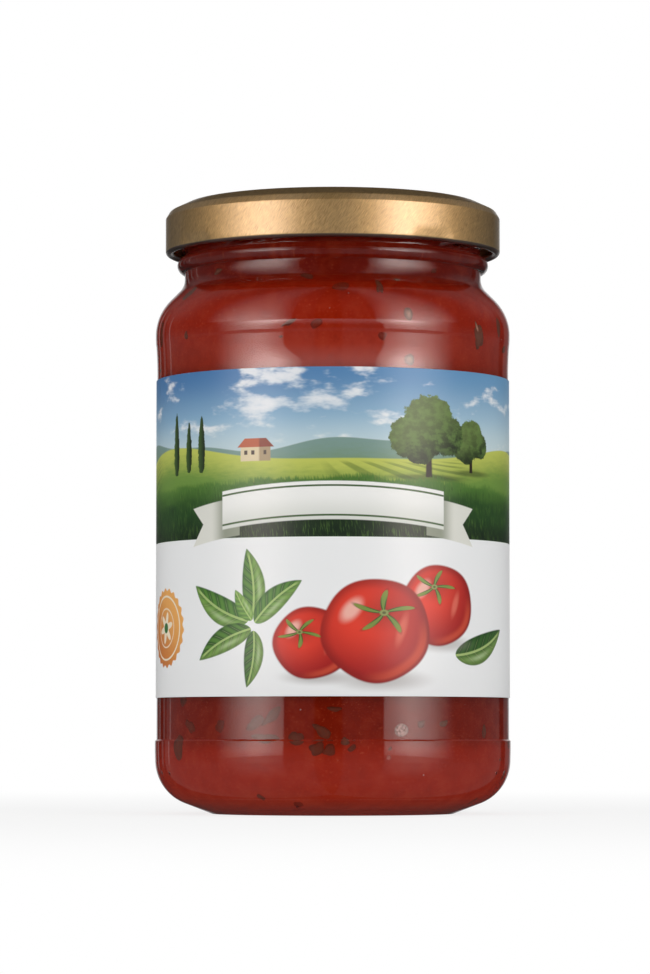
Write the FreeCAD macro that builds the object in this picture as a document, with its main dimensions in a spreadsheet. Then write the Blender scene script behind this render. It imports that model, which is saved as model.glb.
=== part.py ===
import FreeCAD, Part

# A filled glass jar of tomato and basil sauce with a twist-off metal lid.
#
# Four pieces make up the jar as it is sold: the moulded glass jar, the sauce that
# fills it, the pressed metal lid and the printed wrap-round label.
#
# Frame: millimetres, +Z up, the origin at the middle of the ring the jar stands on.
# The front of the label faces -Y.

import math
import os

import Sketcher

DOC_NAME = "SauceJar"
SHEET_NAME = "Sizes"
DEG = math.pi / 180.0

# name, value in millimetres or degrees, what it is
SIZES = (
    ("body_radius", 35.15, "radius of the panel that carries the label"),
    ("ledge_proud", 0.33, "how far the two bands stand proud of the panel"),
    ("wall", 2.4, "glass wall behind the label"),
    ("foot_inset", 11.05, "from the panel radius in to the edge of the foot ring"),
    ("foot_width", 1.7, "width of the flat ring that the jar stands on"),
    ("punt_depth", 2.2, "push-up in the middle of the base"),
    ("base_slope", 21.0, "slope of the base between foot ring and heel, degrees"),
    ("heel_round", 9.25, "outer radius of the heel"),
    ("base_wall", 3.4, "glass in the middle of the base"),
    ("floor_edge", 3.3, "height of the inner floor where it meets the inner heel"),
    ("inner_heel_round", 8.0, "inner radius of the heel"),
    ("band_taper", 2.3, "height over which the heel swells to the lower band"),
    ("low_band", 1.6, "height of the lower band"),
    ("low_step", 0.6, "height of the step from the lower band in to the panel"),
    ("panel_height", 77.2, "height of the straight panel"),
    ("high_step", 1.3, "height of the step from the panel out to the upper band"),
    ("high_band", 1.9, "height of the upper band"),
    ("shoulder_round", 9.6, "outer radius of the shoulder"),
    ("shoulder_angle", 45.0, "turn of the shoulder before it runs straight, degrees"),
    ("neck_inset", 5.45, "from the panel radius in to the neck"),
    ("neck_fillet", 1.5, "outer fillet from shoulder to neck"),
    ("inner_neck_fillet", 2.5, "inner fillet from shoulder to neck"),
    ("neck_wall", 2.3, "glass wall at the neck and mouth"),
    ("neck_height", 2.1, "straight neck below the bead"),
    ("bead_width", 3.2, "height of the bead below the lid"),
    ("bead_proud", 1.5, "how far the bead stands proud of the neck"),
    ("finish_height", 10.4, "from the top of the bead to the rim"),
    ("rim_round", 0.9, "rounding of both edges of the rim"),
    ("thread_angle", 316.0, "where the first thread starts, degrees from +X"),
    ("thread_count", 4, "number of threads round the mouth"),
    ("thread_turn", 84.0, "sweep of one thread, degrees"),
    ("thread_rise", 3.4, "rise of one thread along its sweep"),
    ("thread_proud", 1.3, "how far a thread stands proud of the neck"),
    ("thread_width", 1.6, "height of a thread's section at its root"),
    ("thread_lift", 1.0, "from the bead up to the middle of a thread's low end"),
    ("thread_root", 0.6, "how deep a thread's section reaches into the glass"),
    ("fill_gap", 8.0, "from the rim down to the top of the sauce"),
    ("lid_sheet", 0.3, "thickness of the lid's metal"),
    ("lid_round", 3.8, "radius of the lid's upper edge"),
    ("lid_recess", 1.2, "depth of the lid's centre below its rim"),
    ("recess_round", 0.8, "rounding of the edge of the recess"),
    ("recess_gap", 0.35, "clearance between the recess and the mouth"),
    ("curl_radius", 1.1, "radius of the rolled lower edge of the lid"),
    ("curl_gap", 0.15, "clearance between the curl and the bead, sideways"),
    ("skirt_gap", 0.1, "clearance between the curl and the bead, upwards"),
    ("lug_count", 4, "number of lugs inside the curl"),
    ("lug_angle", 305.8, "direction of the first lug, degrees from +X"),
    ("lug_turn", 14.0, "width of a lug, degrees"),
    ("lug_height", 1.1, "thickness of a lug"),
    ("lug_lift", 0.3, "from the lowest edge of the curl up to a lug"),
    ("lug_gap", 0.8, "clearance between a lug and the neck"),
    ("label_thick", 0.2, "thickness of the label"),
    ("label_low_gap", 7.9, "bare panel below the label"),
    ("label_high_gap", 6.0, "bare panel above the label"),
)


class Size:
    """A length or an angle that knows its number and its formula in the sheet."""

    def __init__(self, value, text):
        self.value = float(value)
        self.text = text

    @staticmethod
    def of(thing):
        """Return thing as a Size, whether it is one already or a plain number."""
        if isinstance(thing, Size):
            return thing
        return Size(thing, repr(float(thing)))

    def __add__(self, other):
        other = Size.of(other)
        return Size(self.value + other.value, f"({self.text} + {other.text})")

    def __sub__(self, other):
        other = Size.of(other)
        return Size(self.value - other.value, f"({self.text} - {other.text})")

    def __mul__(self, other):
        other = Size.of(other)
        return Size(self.value * other.value, f"({self.text} * {other.text})")

    def __truediv__(self, other):
        other = Size.of(other)
        return Size(self.value / other.value, f"({self.text} / {other.text})")

    def sin(self):
        """Sine of this angle in degrees."""
        return Size(math.sin(self.value * DEG), f"sin({self.text})")

    def cos(self):
        """Cosine of this angle in degrees."""
        return Size(math.cos(self.value * DEG), f"cos({self.text})")

    def tan(self):
        """Tangent of this angle in degrees."""
        return Size(math.tan(self.value * DEG), f"tan({self.text})")

    def sqrt(self):
        """Square root of this size."""
        return Size(math.sqrt(self.value), f"sqrt({self.text})")


class Sizes:
    """The driving dimensions, kept in a sheet and read as Size objects."""

    def __init__(self, doc, rows):
        self.sheet = doc.addObject("Spreadsheet::Sheet", SHEET_NAME)
        for row, (name, value, note) in enumerate(rows, start=1):
            self.sheet.set(f"A{row}", note)
            self.sheet.set(f"B{row}", str(value))
            self.sheet.setAlias(f"B{row}", name)
            setattr(self, name, Size(value, f"{SHEET_NAME}.{name}"))
        doc.recompute()


class Outline:
    """A closed outline of lines and arcs in a body's upright XZ plane.

    Every corner is held at its radius and height by the sheet, and every arc by
    its radius, so the outline has no free dimension.
    """

    def __init__(self, body, name):
        self.body = body
        self.sketch = body.newObject("Sketcher::SketchObject", name)
        self.sketch.AttachmentSupport = [(origin_plane(body, "XZ_Plane"), "")]
        self.sketch.MapMode = "FlatFace"
        self.corners = []
        self.arcs = {}

    def to(self, radius, height):
        """Add a corner that the edge before it reaches in a straight line."""
        self.corners.append((Size.of(radius), Size.of(height)))
        return self

    def arc(self, radius, height, bend, centre, ccw):
        """Add a corner that the edge before it reaches along an arc.

        bend is the arc's radius, centre its (radius, height), and ccw says that
        the arc runs anticlockwise from the last corner to this one.
        """
        self.arcs[len(self.corners)] = (Size.of(bend), centre, ccw)
        return self.to(radius, height)

    def turn(self, angle):
        """Turn the whole plane of the outline round the Z axis by an angle."""
        up = FreeCAD.Vector(0, 1, 0)
        spin = FreeCAD.Rotation(up, angle.value)
        self.sketch.AttachmentOffset = FreeCAD.Placement(FreeCAD.Vector(), spin)
        self.sketch.setExpression("AttachmentOffset.Rotation.Angle", angle.text)
        return self

    def close(self):
        """Draw the edges, tie them together and to the sheet, and return the sketch."""
        count = len(self.corners)
        ends = []
        for index in range(count):
            here = self.corners[index]
            there = self.corners[(index + 1) % count]
            ends.append(self._edge(here, there, self.arcs.get((index + 1) % count)))
        for index, (edge, start, _) in enumerate(ends):
            before, _, finish = ends[index - 1]
            tie = Sketcher.Constraint("Coincident", before, finish, edge, start)
            self.sketch.addConstraint(tie)
            radius, height = self.corners[index]
            self._hold("DistanceX", edge, start, radius, -2)
            self._hold("DistanceY", edge, start, height, -1)
        return self.sketch

    def _edge(self, here, there, arc):
        start = FreeCAD.Vector(here[0].value, here[1].value, 0)
        finish = FreeCAD.Vector(there[0].value, there[1].value, 0)
        if arc is None:
            edge = self.sketch.addGeometry(Part.LineSegment(start, finish))
            return edge, 1, 2
        bend, centre, ccw = arc
        middle = FreeCAD.Vector(Size.of(centre[0]).value, Size.of(centre[1]).value, 0)
        circle = Part.Circle(middle, FreeCAD.Vector(0, 0, 1), bend.value)
        first, last = (start, finish) if ccw else (finish, start)
        begin = math.atan2(first.y - middle.y, first.x - middle.x)
        stop = math.atan2(last.y - middle.y, last.x - middle.x)
        if stop < begin:
            stop += 2.0 * math.pi
        edge = self.sketch.addGeometry(Part.ArcOfCircle(circle, begin, stop))
        rule = self.sketch.addConstraint(Sketcher.Constraint("Radius", edge, bend.value))
        self.sketch.setExpression(f"Constraints[{rule}]", bend.text)
        return (edge, 1, 2) if ccw else (edge, 2, 1)

    def _hold(self, kind, edge, point, size, axis):
        if abs(size.value) < 1e-9:
            rule = Sketcher.Constraint("PointOnObject", edge, point, axis)
            self.sketch.addConstraint(rule)
            return
        rule = Sketcher.Constraint(kind, -1, 1, edge, point, size.value)
        number = self.sketch.addConstraint(rule)
        self.sketch.setExpression(f"Constraints[{number}]", size.text)


def origin_plane(body, role):
    """Return the plane or axis of a body's own origin that has the given role."""
    for item in body.Origin.OriginFeatures:
        if item.Role == role:
            return item
    raise LookupError(role)


def new_body(doc, label):
    """Add an empty body whose label names the finished piece."""
    body = doc.addObject("PartDesign::Body", label)
    body.Label = label
    return body


def revolve(body, sketch, name, angle=None):
    """Turn a sketch round its own upright axis: all the way, or by an angle about it."""
    feature = body.newObject("PartDesign::Revolution", name)
    feature.Profile = sketch
    feature.ReferenceAxis = (sketch, ["V_Axis"])
    feature.Angle = 360.0
    if angle is not None:
        feature.Midplane = True
        feature.setExpression("Angle", angle.text)
    sketch.Visibility = False
    body.Tip = feature
    return feature


def ring_pattern(body, feature, name, count, angle=None):
    """Repeat a feature round the Z axis and make the pattern the body's tip."""
    pattern = body.newObject("PartDesign::PolarPattern", name)
    pattern.Originals = [feature]
    pattern.Axis = (origin_plane(body, "Z_Axis"), [""])
    pattern.Angle = 360.0
    if angle is not None:
        pattern.setExpression("Angle", angle.text)
    pattern.setExpression("Occurrences", count.text)
    body.Tip = pattern
    return pattern


class JarForm:
    """Radii and heights of the glass that more than one piece needs."""

    def __init__(self, s):
        self.panel = s.body_radius
        self.inside = s.body_radius - s.wall
        self.band = s.body_radius + s.ledge_proud
        self.foot = s.body_radius - s.foot_inset
        self.neck = s.body_radius - s.neck_inset
        self.mouth = self.neck - s.neck_wall
        self.bead = self.neck + s.bead_proud

        slope = s.base_slope
        reach = s.foot_inset - s.heel_round + s.heel_round * slope.sin()
        self.heel_top = s.heel_round * slope.cos() + reach * slope.tan()
        self.band_low = self.heel_top + s.band_taper
        self.band_high = self.band_low + s.low_band
        self.panel_low = self.band_high + s.low_step
        self.panel_high = self.panel_low + s.panel_height
        self.ledge_high = self.panel_high + s.high_step
        self.shoulder_low = self.ledge_high + s.high_band

        turn = s.shoulder_angle
        self.shoulder_mid = self.band - s.shoulder_round
        self.outer = Slope(self.shoulder_mid, self.shoulder_low, s.shoulder_round,
                           turn, self.neck, s.neck_fillet)
        inner_round = s.shoulder_round - s.wall - s.ledge_proud
        self.inner = Slope(self.shoulder_mid, self.shoulder_low, inner_round,
                           turn, self.mouth, s.inner_neck_fillet)

        self.bead_low = self.outer.top + s.neck_height
        self.bead_high = self.bead_low + s.bead_width
        self.rim = self.bead_high + s.finish_height
        self.floor = s.punt_depth + s.base_wall
        self.fill = self.rim - s.fill_gap


class Slope:
    """A shoulder: an arc, a straight slope tangent to it and a fillet to the neck."""

    def __init__(self, mid, low, bend, turn, neck, fillet):
        self.mid = mid
        self.low = low
        self.bend = bend
        self.neck = neck
        self.fillet = fillet
        self.arc_end = (mid + bend * turn.cos(), low + bend * turn.sin())
        self.slope_end_radius = neck + fillet - fillet * turn.cos()
        run = self.arc_end[0] - self.slope_end_radius
        self.slope_end = (self.slope_end_radius, self.arc_end[1] + run / turn.tan())
        self.top = self.slope_end[1] + fillet * turn.sin()

    def rise(self, outline):
        """Add this shoulder to an outline, from its low end up to the neck."""
        outline.arc(*self.arc_end, self.bend, (self.mid, self.low), True)
        outline.to(*self.slope_end)
        centre = (self.neck + self.fillet, self.top)
        outline.arc(self.neck, self.top, self.fillet, centre, False)

    def fall(self, outline, radius):
        """Add this shoulder to an outline, from the neck down to the given radius."""
        outline.to(self.neck, self.top)
        centre = (self.neck + self.fillet, self.top)
        outline.arc(*self.slope_end, self.fillet, centre, True)
        outline.to(*self.arc_end)
        outline.arc(radius, self.low, self.bend, (self.mid, self.low), False)


def dome_radius(half_width, height):
    """Radius of the arc over a half width that rises to a height in its middle."""
    return (half_width * half_width + height * height) / (height * 2.0)


def build_jar(doc, s, form):
    """The moulded glass: foot, heel, two bands, shoulder, bead, threads and rim."""
    body = new_body(doc, "glass_jar")
    outline = Outline(body, "JarOutline")

    foot_inner = form.foot - s.foot_width
    punt = dome_radius(foot_inner, s.punt_depth)
    heel_mid = form.panel - s.heel_round
    slope = s.base_slope
    heel_low_radius = heel_mid + s.heel_round * slope.sin()
    heel_low = form.heel_top - s.heel_round * slope.cos()

    outline.to(0, s.punt_depth)
    outline.arc(foot_inner, 0, punt, (0, s.punt_depth - punt), False)
    outline.to(form.foot, 0)
    outline.to(heel_low_radius, heel_low)
    outline.arc(form.panel, form.heel_top, s.heel_round, (heel_mid, form.heel_top), True)
    outline.to(form.band, form.band_low)
    outline.to(form.band, form.band_high)
    outline.to(form.panel, form.panel_low)
    outline.to(form.panel, form.panel_high)
    outline.to(form.band, form.ledge_high)
    outline.to(form.band, form.shoulder_low)
    form.outer.rise(outline)

    outline.to(form.neck, form.bead_low)
    bead = dome_radius(s.bead_width / 2.0, s.bead_proud)
    bead_mid = (form.bead - bead, form.bead_low + s.bead_width / 2.0)
    outline.arc(form.neck, form.bead_high, bead, bead_mid, True)

    edge = s.rim_round
    rim_side = form.rim - edge
    outline.to(form.neck, rim_side)
    outline.arc(form.neck - edge, form.rim, edge, (form.neck - edge, rim_side), True)
    outline.to(form.mouth + edge, form.rim)
    outline.arc(form.mouth, rim_side, edge, (form.mouth + edge, rim_side), True)

    form.inner.fall(outline, form.inside)
    trace_inner_base(outline, s, form)
    profile = outline.close()
    blank = revolve(body, profile, "JarBlank")
    doc.recompute()

    add_threads(doc, body, s, form)
    if body.Shape.Volume <= blank.Shape.Volume:
        raise ValueError("the threads added nothing to the jar")
    return body


def trace_inner_base(outline, s, form):
    """Add the inner heel and floor to an outline, going down and in to the axis."""
    heel_mid = form.inside - s.inner_heel_round
    heel_top = s.floor_edge + s.inner_heel_round
    outline.to(form.inside, heel_top)
    outline.arc(heel_mid, s.floor_edge, s.inner_heel_round, (heel_mid, heel_top), False)
    floor = dome_radius(heel_mid, form.floor - s.floor_edge)
    outline.arc(0, form.floor, floor, (0, form.floor - floor), True)


def add_threads(doc, body, s, form):
    """Short slanting threads round the outside of the mouth."""
    outline = Outline(body, "ThreadOutline")
    outline.turn(s.thread_angle)
    middle = form.bead_high + s.thread_lift
    root = form.neck - s.thread_root
    half = s.thread_width / 2.0
    crest = form.neck + s.thread_proud
    outline.to(root, middle - half)
    outline.to(form.neck, middle - half)
    outline.to(crest, middle - half / 2.0)
    outline.to(crest, middle + half / 2.0)
    outline.to(form.neck, middle + half)
    outline.to(root, middle + half)
    profile = outline.close()

    thread = body.newObject("PartDesign::AdditiveHelix", "Thread")
    thread.Profile = profile
    thread.ReferenceAxis = (profile, ["V_Axis"])
    thread.Mode = 0
    thread.setExpression("Pitch", (s.thread_rise / s.thread_turn * 360.0).text)
    thread.setExpression("Height", s.thread_rise.text)
    profile.Visibility = False
    body.Tip = thread
    doc.recompute()
    ring_pattern(body, thread, "Threads", s.thread_count)
    doc.recompute()


def build_sauce(doc, s, form):
    """The sauce, against the glass all round and level at the top."""
    body = new_body(doc, "sauce")
    outline = Outline(body, "SauceOutline")
    outline.to(0, form.fill)
    outline.to(form.mouth, form.fill)
    form.inner.fall(outline, form.inside)
    trace_inner_base(outline, s, form)
    revolve(body, outline.close(), "SauceFill")
    return body


def build_lid(doc, s, form):
    """The pressed lid, drawn from the plane where it seats on the glass rim."""
    body = new_body(doc, "lid")
    body.setExpression("Placement.Base.z", form.rim.text)
    outline = Outline(body, "LidOutline")

    curl = s.curl_radius
    outside = form.bead + s.curl_gap + curl * 2.0
    within = outside - s.lid_sheet
    top = s.lid_sheet
    curl_mid = curl + s.skirt_gap - s.finish_height
    round_mid = (outside - s.lid_round, top - s.lid_round)
    recess_out = form.mouth - s.recess_gap
    recess_in = recess_out - s.lid_sheet
    edge = s.recess_round
    panel = top - s.lid_recess
    across = curl - s.lid_sheet
    curl_rise = (curl * curl - across * across).sqrt()

    outline.to(0, panel)
    outline.to(recess_in, panel)
    outline.to(recess_in, top - edge)
    outline.arc(recess_in + edge, top, edge, (recess_in + edge, top - edge), False)
    outline.to(outside - s.lid_round, top)
    outline.arc(outside, top - s.lid_round, s.lid_round, round_mid, False)
    outline.to(outside, curl_mid)
    outline.arc(outside - curl, curl_mid - curl, curl, (outside - curl, curl_mid), False)
    outline.arc(outside - curl * 2.0, curl_mid, curl, (outside - curl, curl_mid), False)
    outline.arc(within, curl_mid + curl_rise, curl, (outside - curl, curl_mid), False)
    outline.to(within, top - s.lid_round)
    inner_round = s.lid_round - s.lid_sheet
    outline.arc(outside - s.lid_round, 0, inner_round, round_mid, True)
    outline.to(recess_out + inner_edge(s), 0)
    inner_mid = (recess_out + inner_edge(s), top - edge)
    outline.arc(recess_out, top - edge, inner_edge(s), inner_mid, True)
    outline.to(recess_out, panel - s.lid_sheet)
    outline.to(0, panel - s.lid_sheet)
    shell = revolve(body, outline.close(), "LidShell")
    doc.recompute()

    lug = Outline(body, "LugOutline")
    lug.turn(s.lug_angle)
    lug_low = curl_mid - curl + s.lug_lift
    lug_in = form.neck + s.lug_gap
    lug.to(lug_in, lug_low)
    lug.to(outside - curl, lug_low)
    lug.to(outside - curl, lug_low + s.lug_height)
    lug.to(lug_in, lug_low + s.lug_height)
    piece = revolve(body, lug.close(), "Lug", s.lug_turn)
    doc.recompute()
    ring_pattern(body, piece, "Lugs", s.lug_count)
    doc.recompute()
    if body.Shape.Volume <= shell.Shape.Volume:
        raise ValueError("the lugs added nothing to the lid")
    return body


def inner_edge(s):
    """Rounding on the hidden side of the sheet at the edge of the recess."""
    return s.recess_round - s.lid_sheet


def build_label(doc, s, form):
    """The label, a closed band lying on the panel."""
    body = new_body(doc, "label")
    body.setExpression("Placement.Base.z", (form.panel_low + s.label_low_gap).text)
    height = s.panel_height - s.label_low_gap - s.label_high_gap
    outline = Outline(body, "LabelOutline")
    outline.to(form.panel, 0)
    outline.to(form.panel + s.label_thick, 0)
    outline.to(form.panel + s.label_thick, height)
    outline.to(form.panel, height)
    revolve(body, outline.close(), "LabelBand")
    return body


def check(doc, pieces):
    """Stop with a message if any feature failed or any piece isn't a sound solid."""
    for item in doc.Objects:
        if "Invalid" in item.State or "Error" in item.State:
            raise RuntimeError(f"{item.Label} failed: {item.State}")
    for piece in pieces:
        shape = piece.Shape
        if shape.isNull() or not shape.isValid() or len(shape.Solids) != 1:
            raise RuntimeError(f"{piece.Label} is not one sound solid")


def main():
    """Build every piece and write each to a file named after it."""
    doc = FreeCAD.newDocument(DOC_NAME)
    sizes = Sizes(doc, SIZES)
    form = JarForm(sizes)
    pieces = [
        build_jar(doc, sizes, form),
        build_sauce(doc, sizes, form),
        build_lid(doc, sizes, form),
        build_label(doc, sizes, form),
    ]
    doc.recompute()
    check(doc, pieces)
    os.makedirs("parts", exist_ok=True)
    for piece in pieces:
        piece.Shape.exportStep(f"parts/{piece.Label}.step")
        box = piece.Shape.BoundBox
        print(f"{piece.Label}: {piece.Shape.Volume / 1000.0:.1f} ml, "
              f"z {box.ZMin:.2f} to {box.ZMax:.2f}, radius {box.XMax:.2f}")


main()
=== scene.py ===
"""Looks of a filled sauce jar: clear glass, tomato and basil sauce, printed label, gold twist-off lid."""

from __future__ import annotations

import logging
import math
import random
from dataclasses import dataclass
from enum import Enum
from functools import cached_property
from typing import Callable, Optional, Sequence, Union

import bmesh
import bpy
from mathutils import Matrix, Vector

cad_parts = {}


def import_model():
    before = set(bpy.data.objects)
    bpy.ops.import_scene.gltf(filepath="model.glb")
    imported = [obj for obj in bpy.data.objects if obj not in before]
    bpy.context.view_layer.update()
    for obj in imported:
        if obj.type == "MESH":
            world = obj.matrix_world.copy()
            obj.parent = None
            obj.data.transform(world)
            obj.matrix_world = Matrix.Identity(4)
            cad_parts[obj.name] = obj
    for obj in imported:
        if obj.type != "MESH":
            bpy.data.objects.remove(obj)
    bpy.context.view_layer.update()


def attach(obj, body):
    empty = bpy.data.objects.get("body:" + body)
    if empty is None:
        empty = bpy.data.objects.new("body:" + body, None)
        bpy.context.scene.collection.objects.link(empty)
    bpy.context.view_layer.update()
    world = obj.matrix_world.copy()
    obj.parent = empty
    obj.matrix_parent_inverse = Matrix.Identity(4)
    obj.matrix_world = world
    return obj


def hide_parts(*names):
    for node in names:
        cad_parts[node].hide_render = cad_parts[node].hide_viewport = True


LOG = logging.getLogger("sauce_jar")

MM = 0.001
ON_AXIS = 1e-6
SHY = 0.01
BEND_REACH = math.tan(math.pi / 8.0)
ROUND_STEPS = 256

Colour = tuple[float, float, float, float]
Point = tuple[float, float]
Triple = tuple[float, float, float]
Relief = Callable[[float, float, float], Point]


def paint(*display: float) -> Colour:
    """Turns display values from 0 to 255 into the linear colour that a shader takes.

    Args:
        display: Red, green and blue as shown on a display.

    Returns:
        The linear colour, opaque.
    """
    shares = [value / 255.0 for value in display]
    linear = [share / 12.92 if share <= 0.04045 else ((share + 0.055) / 1.055) ** 2.4 for share in shares]
    return (*linear, 1.0)


# ---------------------------------------------------------------- node helpers


def operator(operation: str, first: bool = True) -> Callable[..., Signal]:
    """Makes one of a signal's operators.

    Args:
        operation: What the Math node works out.
        first: Whether the signal comes before the other value.

    Returns:
        The operator.
    """

    def apply(signal: Signal, *others: Value) -> Signal:
        """Adds the Math node and returns its result."""
        return signal.board.math(operation, *((signal, *others) if first else (*others, signal)))

    return apply


class Signal:
    """A number in a node tree that adds a Math node each time it is used in an expression."""

    __add__, __radd__ = operator("ADD"), operator("ADD", False)
    __sub__, __rsub__ = operator("SUBTRACT"), operator("SUBTRACT", False)
    __mul__, __rmul__ = operator("MULTIPLY"), operator("MULTIPLY", False)
    __truediv__, __pow__, __abs__ = operator("DIVIDE"), operator("POWER"), operator("ABSOLUTE")
    __gt__, __lt__ = operator("GREATER_THAN"), operator("LESS_THAN")
    sin, fract, root = operator("SINE"), operator("FRACT"), operator("SQRT")
    least, most = operator("MINIMUM"), operator("MAXIMUM")

    def __init__(self, board: NodeBoard, socket: bpy.types.NodeSocket) -> None:
        """Wraps an output socket of the board's tree."""
        self.board = board
        self.socket = socket

    def __neg__(self) -> Signal:
        """Changes the sign."""
        return self * -1.0


Value = Union[Signal, int, float]
Feed = Union[Signal, bpy.types.NodeSocket, float, int, tuple, str, bpy.types.Material, bpy.types.Object]
Feeds = dict[Union[str, int], Feed]


class NodeBoard:
    """A node tree being wired, for a material, the world or a geometry modifier."""

    def __init__(self, tree: bpy.types.NodeTree) -> None:
        """Takes an empty tree."""
        self.tree = tree

    def node(self, kind: str, sockets: Optional[Feeds] = None, **settings: object) -> bpy.types.Node:
        """Adds a node, sets it up and then feeds its sockets.

        Args:
            kind: The node's type.
            sockets: What each input takes, by name, identifier or number: a value or a link.
            settings: Its settings, set first; stops holds a ramp's places and colours.

        Returns:
            The node.
        """
        made = self.tree.nodes.new(kind)
        for name, value in settings.items():
            if name == "stops":
                self._set_stops(made.color_ramp, value)
            else:
                setattr(made, name, value)
        for key, value in (sockets or {}).items():
            entry = made.inputs[key] if isinstance(key, int) else self._entry(made, key)
            value = value.socket if isinstance(value, Signal) else value
            if isinstance(value, bpy.types.NodeSocket):
                self.tree.links.new(value, entry)
            else:
                entry.default_value = value
        return made

    def flow(self, kind: str, sockets: Optional[Feeds] = None, **settings: object) -> bpy.types.NodeSocket:
        """Adds a node in the same way and gives its first output."""
        return self.node(kind, sockets, **settings).outputs[0]

    @staticmethod
    def _entry(made: bpy.types.Node, key: str) -> bpy.types.NodeSocket:
        """Finds an input by its identifier, or by its name among those in use."""
        named = [entry for entry in made.inputs if entry.name == key and entry.enabled]
        return next((entry for entry in made.inputs if entry.identifier == key), None) or named[0]

    @staticmethod
    def _set_stops(ramp: bpy.types.ColorRamp, stops: Sequence[tuple[float, Colour]]) -> None:
        """Gives a colour ramp its stops.

        Args:
            ramp: The ramp.
            stops: Each stop's place and colour.
        """
        while len(ramp.elements) < len(stops):
            ramp.elements.new(1.0)
        for element, (place, colour) in zip(ramp.elements, stops):
            element.position = place
            element.color = colour

    def math(self, operation: str, *values: Value) -> Signal:
        """Adds a Math node of an operation with its inputs in order, and gives its result."""
        return Signal(self, self.flow("ShaderNodeMath", dict(enumerate(values)), operation=operation))

    def ramp(self, value: Value, low: float, high: float, smooth: bool = True) -> Signal:
        """Rises from 0 at low to 1 at high, and falls where high is the smaller.

        Args:
            value: What is measured.
            low: Where the result is 0.
            high: Where the result is 1.
            smooth: Whether both ends ease in.

        Returns:
            A number from 0 to 1.
        """
        kind = "SMOOTHSTEP" if smooth else "LINEAR"
        sockets = {"Value": value, "From Min": low, "From Max": high}
        return Signal(self, self.flow("ShaderNodeMapRange", sockets, interpolation_type=kind, clamp=True))

    def mix(self, share: Value, base: Feed, over: Feed) -> bpy.types.NodeSocket:
        """Mixes two colours.

        Args:
            share: How much of the second shows.
            base: The first colour.
            over: The second colour.

        Returns:
            The mixed colour's socket.
        """
        sockets = {"Factor_Float": share, "A_Color": base, "B_Color": over}
        made = self.node("ShaderNodeMix", sockets, data_type="RGBA", clamp_factor=True)
        return next(out for out in made.outputs if out.identifier == "Result_Color")

    def washes(self, base: Feed, *layers: tuple) -> Feed:
        """Lays colours one over another, each where a value runs from a low to a high.

        Args:
            base: The colour under them all.
            layers: For each, the value, its low and high, the colour, and what its share is multiplied by.

        Returns:
            The colour on top.
        """
        for value, low, high, over, *parts in layers:
            share = self.ramp(value, low, high)
            for part in parts:
                share = share * part
            base = self.mix(share, base, over)
        return base

    def split(self, vector: bpy.types.NodeSocket) -> tuple[Signal, Signal, Signal]:
        """Splits a vector into its three numbers."""
        return tuple(Signal(self, out) for out in self.node("ShaderNodeSeparateXYZ", {0: vector}).outputs)

    def join(self, x: Value, y: Value, z: Value) -> bpy.types.NodeSocket:
        """Joins three numbers into a vector."""
        return self.flow("ShaderNodeCombineXYZ", {0: x, 1: y, 2: z})

    def rays(self) -> dict[str, Signal]:
        """Gives the marks of what kind of ray is being traced, by name."""
        return {out.name: Signal(self, out) for out in self.node("ShaderNodeLightPath").outputs}

    def noise(
        self,
        vector: bpy.types.NodeSocket,
        grain: float,
        detail: float = 3.0,
        rough: float = 0.5,
        stretch: Triple = (1.0, 1.0, 1.0),
        turn: float = 0.0,
    ) -> Signal:
        """Adds a soft random pattern.

        Args:
            vector: Where the pattern is read.
            grain: Size of its patches, in the vector's own unit.
            detail: How many finer layers it has.
            rough: How strong the finer layers are.
            stretch: How much longer the patches are along each axis.
            turn: How far the pattern is turned about the third axis, in degrees.

        Returns:
            A number around 0.5.
        """
        laid = {"Vector": vector, "Rotation": (0.0, 0.0, math.radians(turn)), "Scale": stretch}
        placed = self.flow("ShaderNodeMapping", laid, vector_type="TEXTURE")
        pattern = {"Vector": placed, "Scale": 1.0 / grain, "Detail": detail, "Roughness": rough}
        return Signal(self, self.flow("ShaderNodeTexNoise", pattern))


class SurfaceBoard(NodeBoard):
    """A board for a material that ends in one surface shader."""

    def __init__(self, name: str) -> None:
        """Makes the material with an empty tree.

        Args:
            name: The material's name.
        """
        self.material = bpy.data.materials.new(name)
        self.material.use_nodes = True
        self.material.node_tree.nodes.clear()
        super().__init__(self.material.node_tree)

    def place(self) -> bpy.types.NodeSocket:
        """Where a point is in the jar's frame, in metres."""
        return self.node("ShaderNodeTexCoord").outputs["Object"]

    def attribute(self, name: str) -> bpy.types.Node:
        """Reads one of the mesh's own attributes."""
        return self.node("ShaderNodeAttribute", attribute_name=name)

    def bump(self, height: Value, depth: float, strength: float = 1.0) -> bpy.types.NodeSocket:
        """Turns a height from 0 to 1 into relief.

        Args:
            height: The height.
            depth: What a height of 1 stands for, in metres.
            strength: How much of the relief shows.

        Returns:
            The normal's socket.
        """
        return self.flow("ShaderNodeBump", {"Height": height, "Distance": depth, "Strength": strength})

    def surface(self, sockets: Feeds) -> bpy.types.NodeSocket:
        """Adds the surface shader and gives its output."""
        return self.flow("ShaderNodeBsdfPrincipled", sockets)

    def blend(self, share: Feed, base: Feed, over: Feed) -> bpy.types.NodeSocket:
        """Mixes two shaders."""
        return self.flow("ShaderNodeMixShader", {0: share, 1: base, 2: over})

    def finish(self, shader: bpy.types.NodeSocket) -> bpy.types.Material:
        """Sends a shader to the material's output and returns the material."""
        self.node("ShaderNodeOutputMaterial", {"Surface": shader})
        return self.material


# ---------------------------------------------------------------- turned shapes


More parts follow.
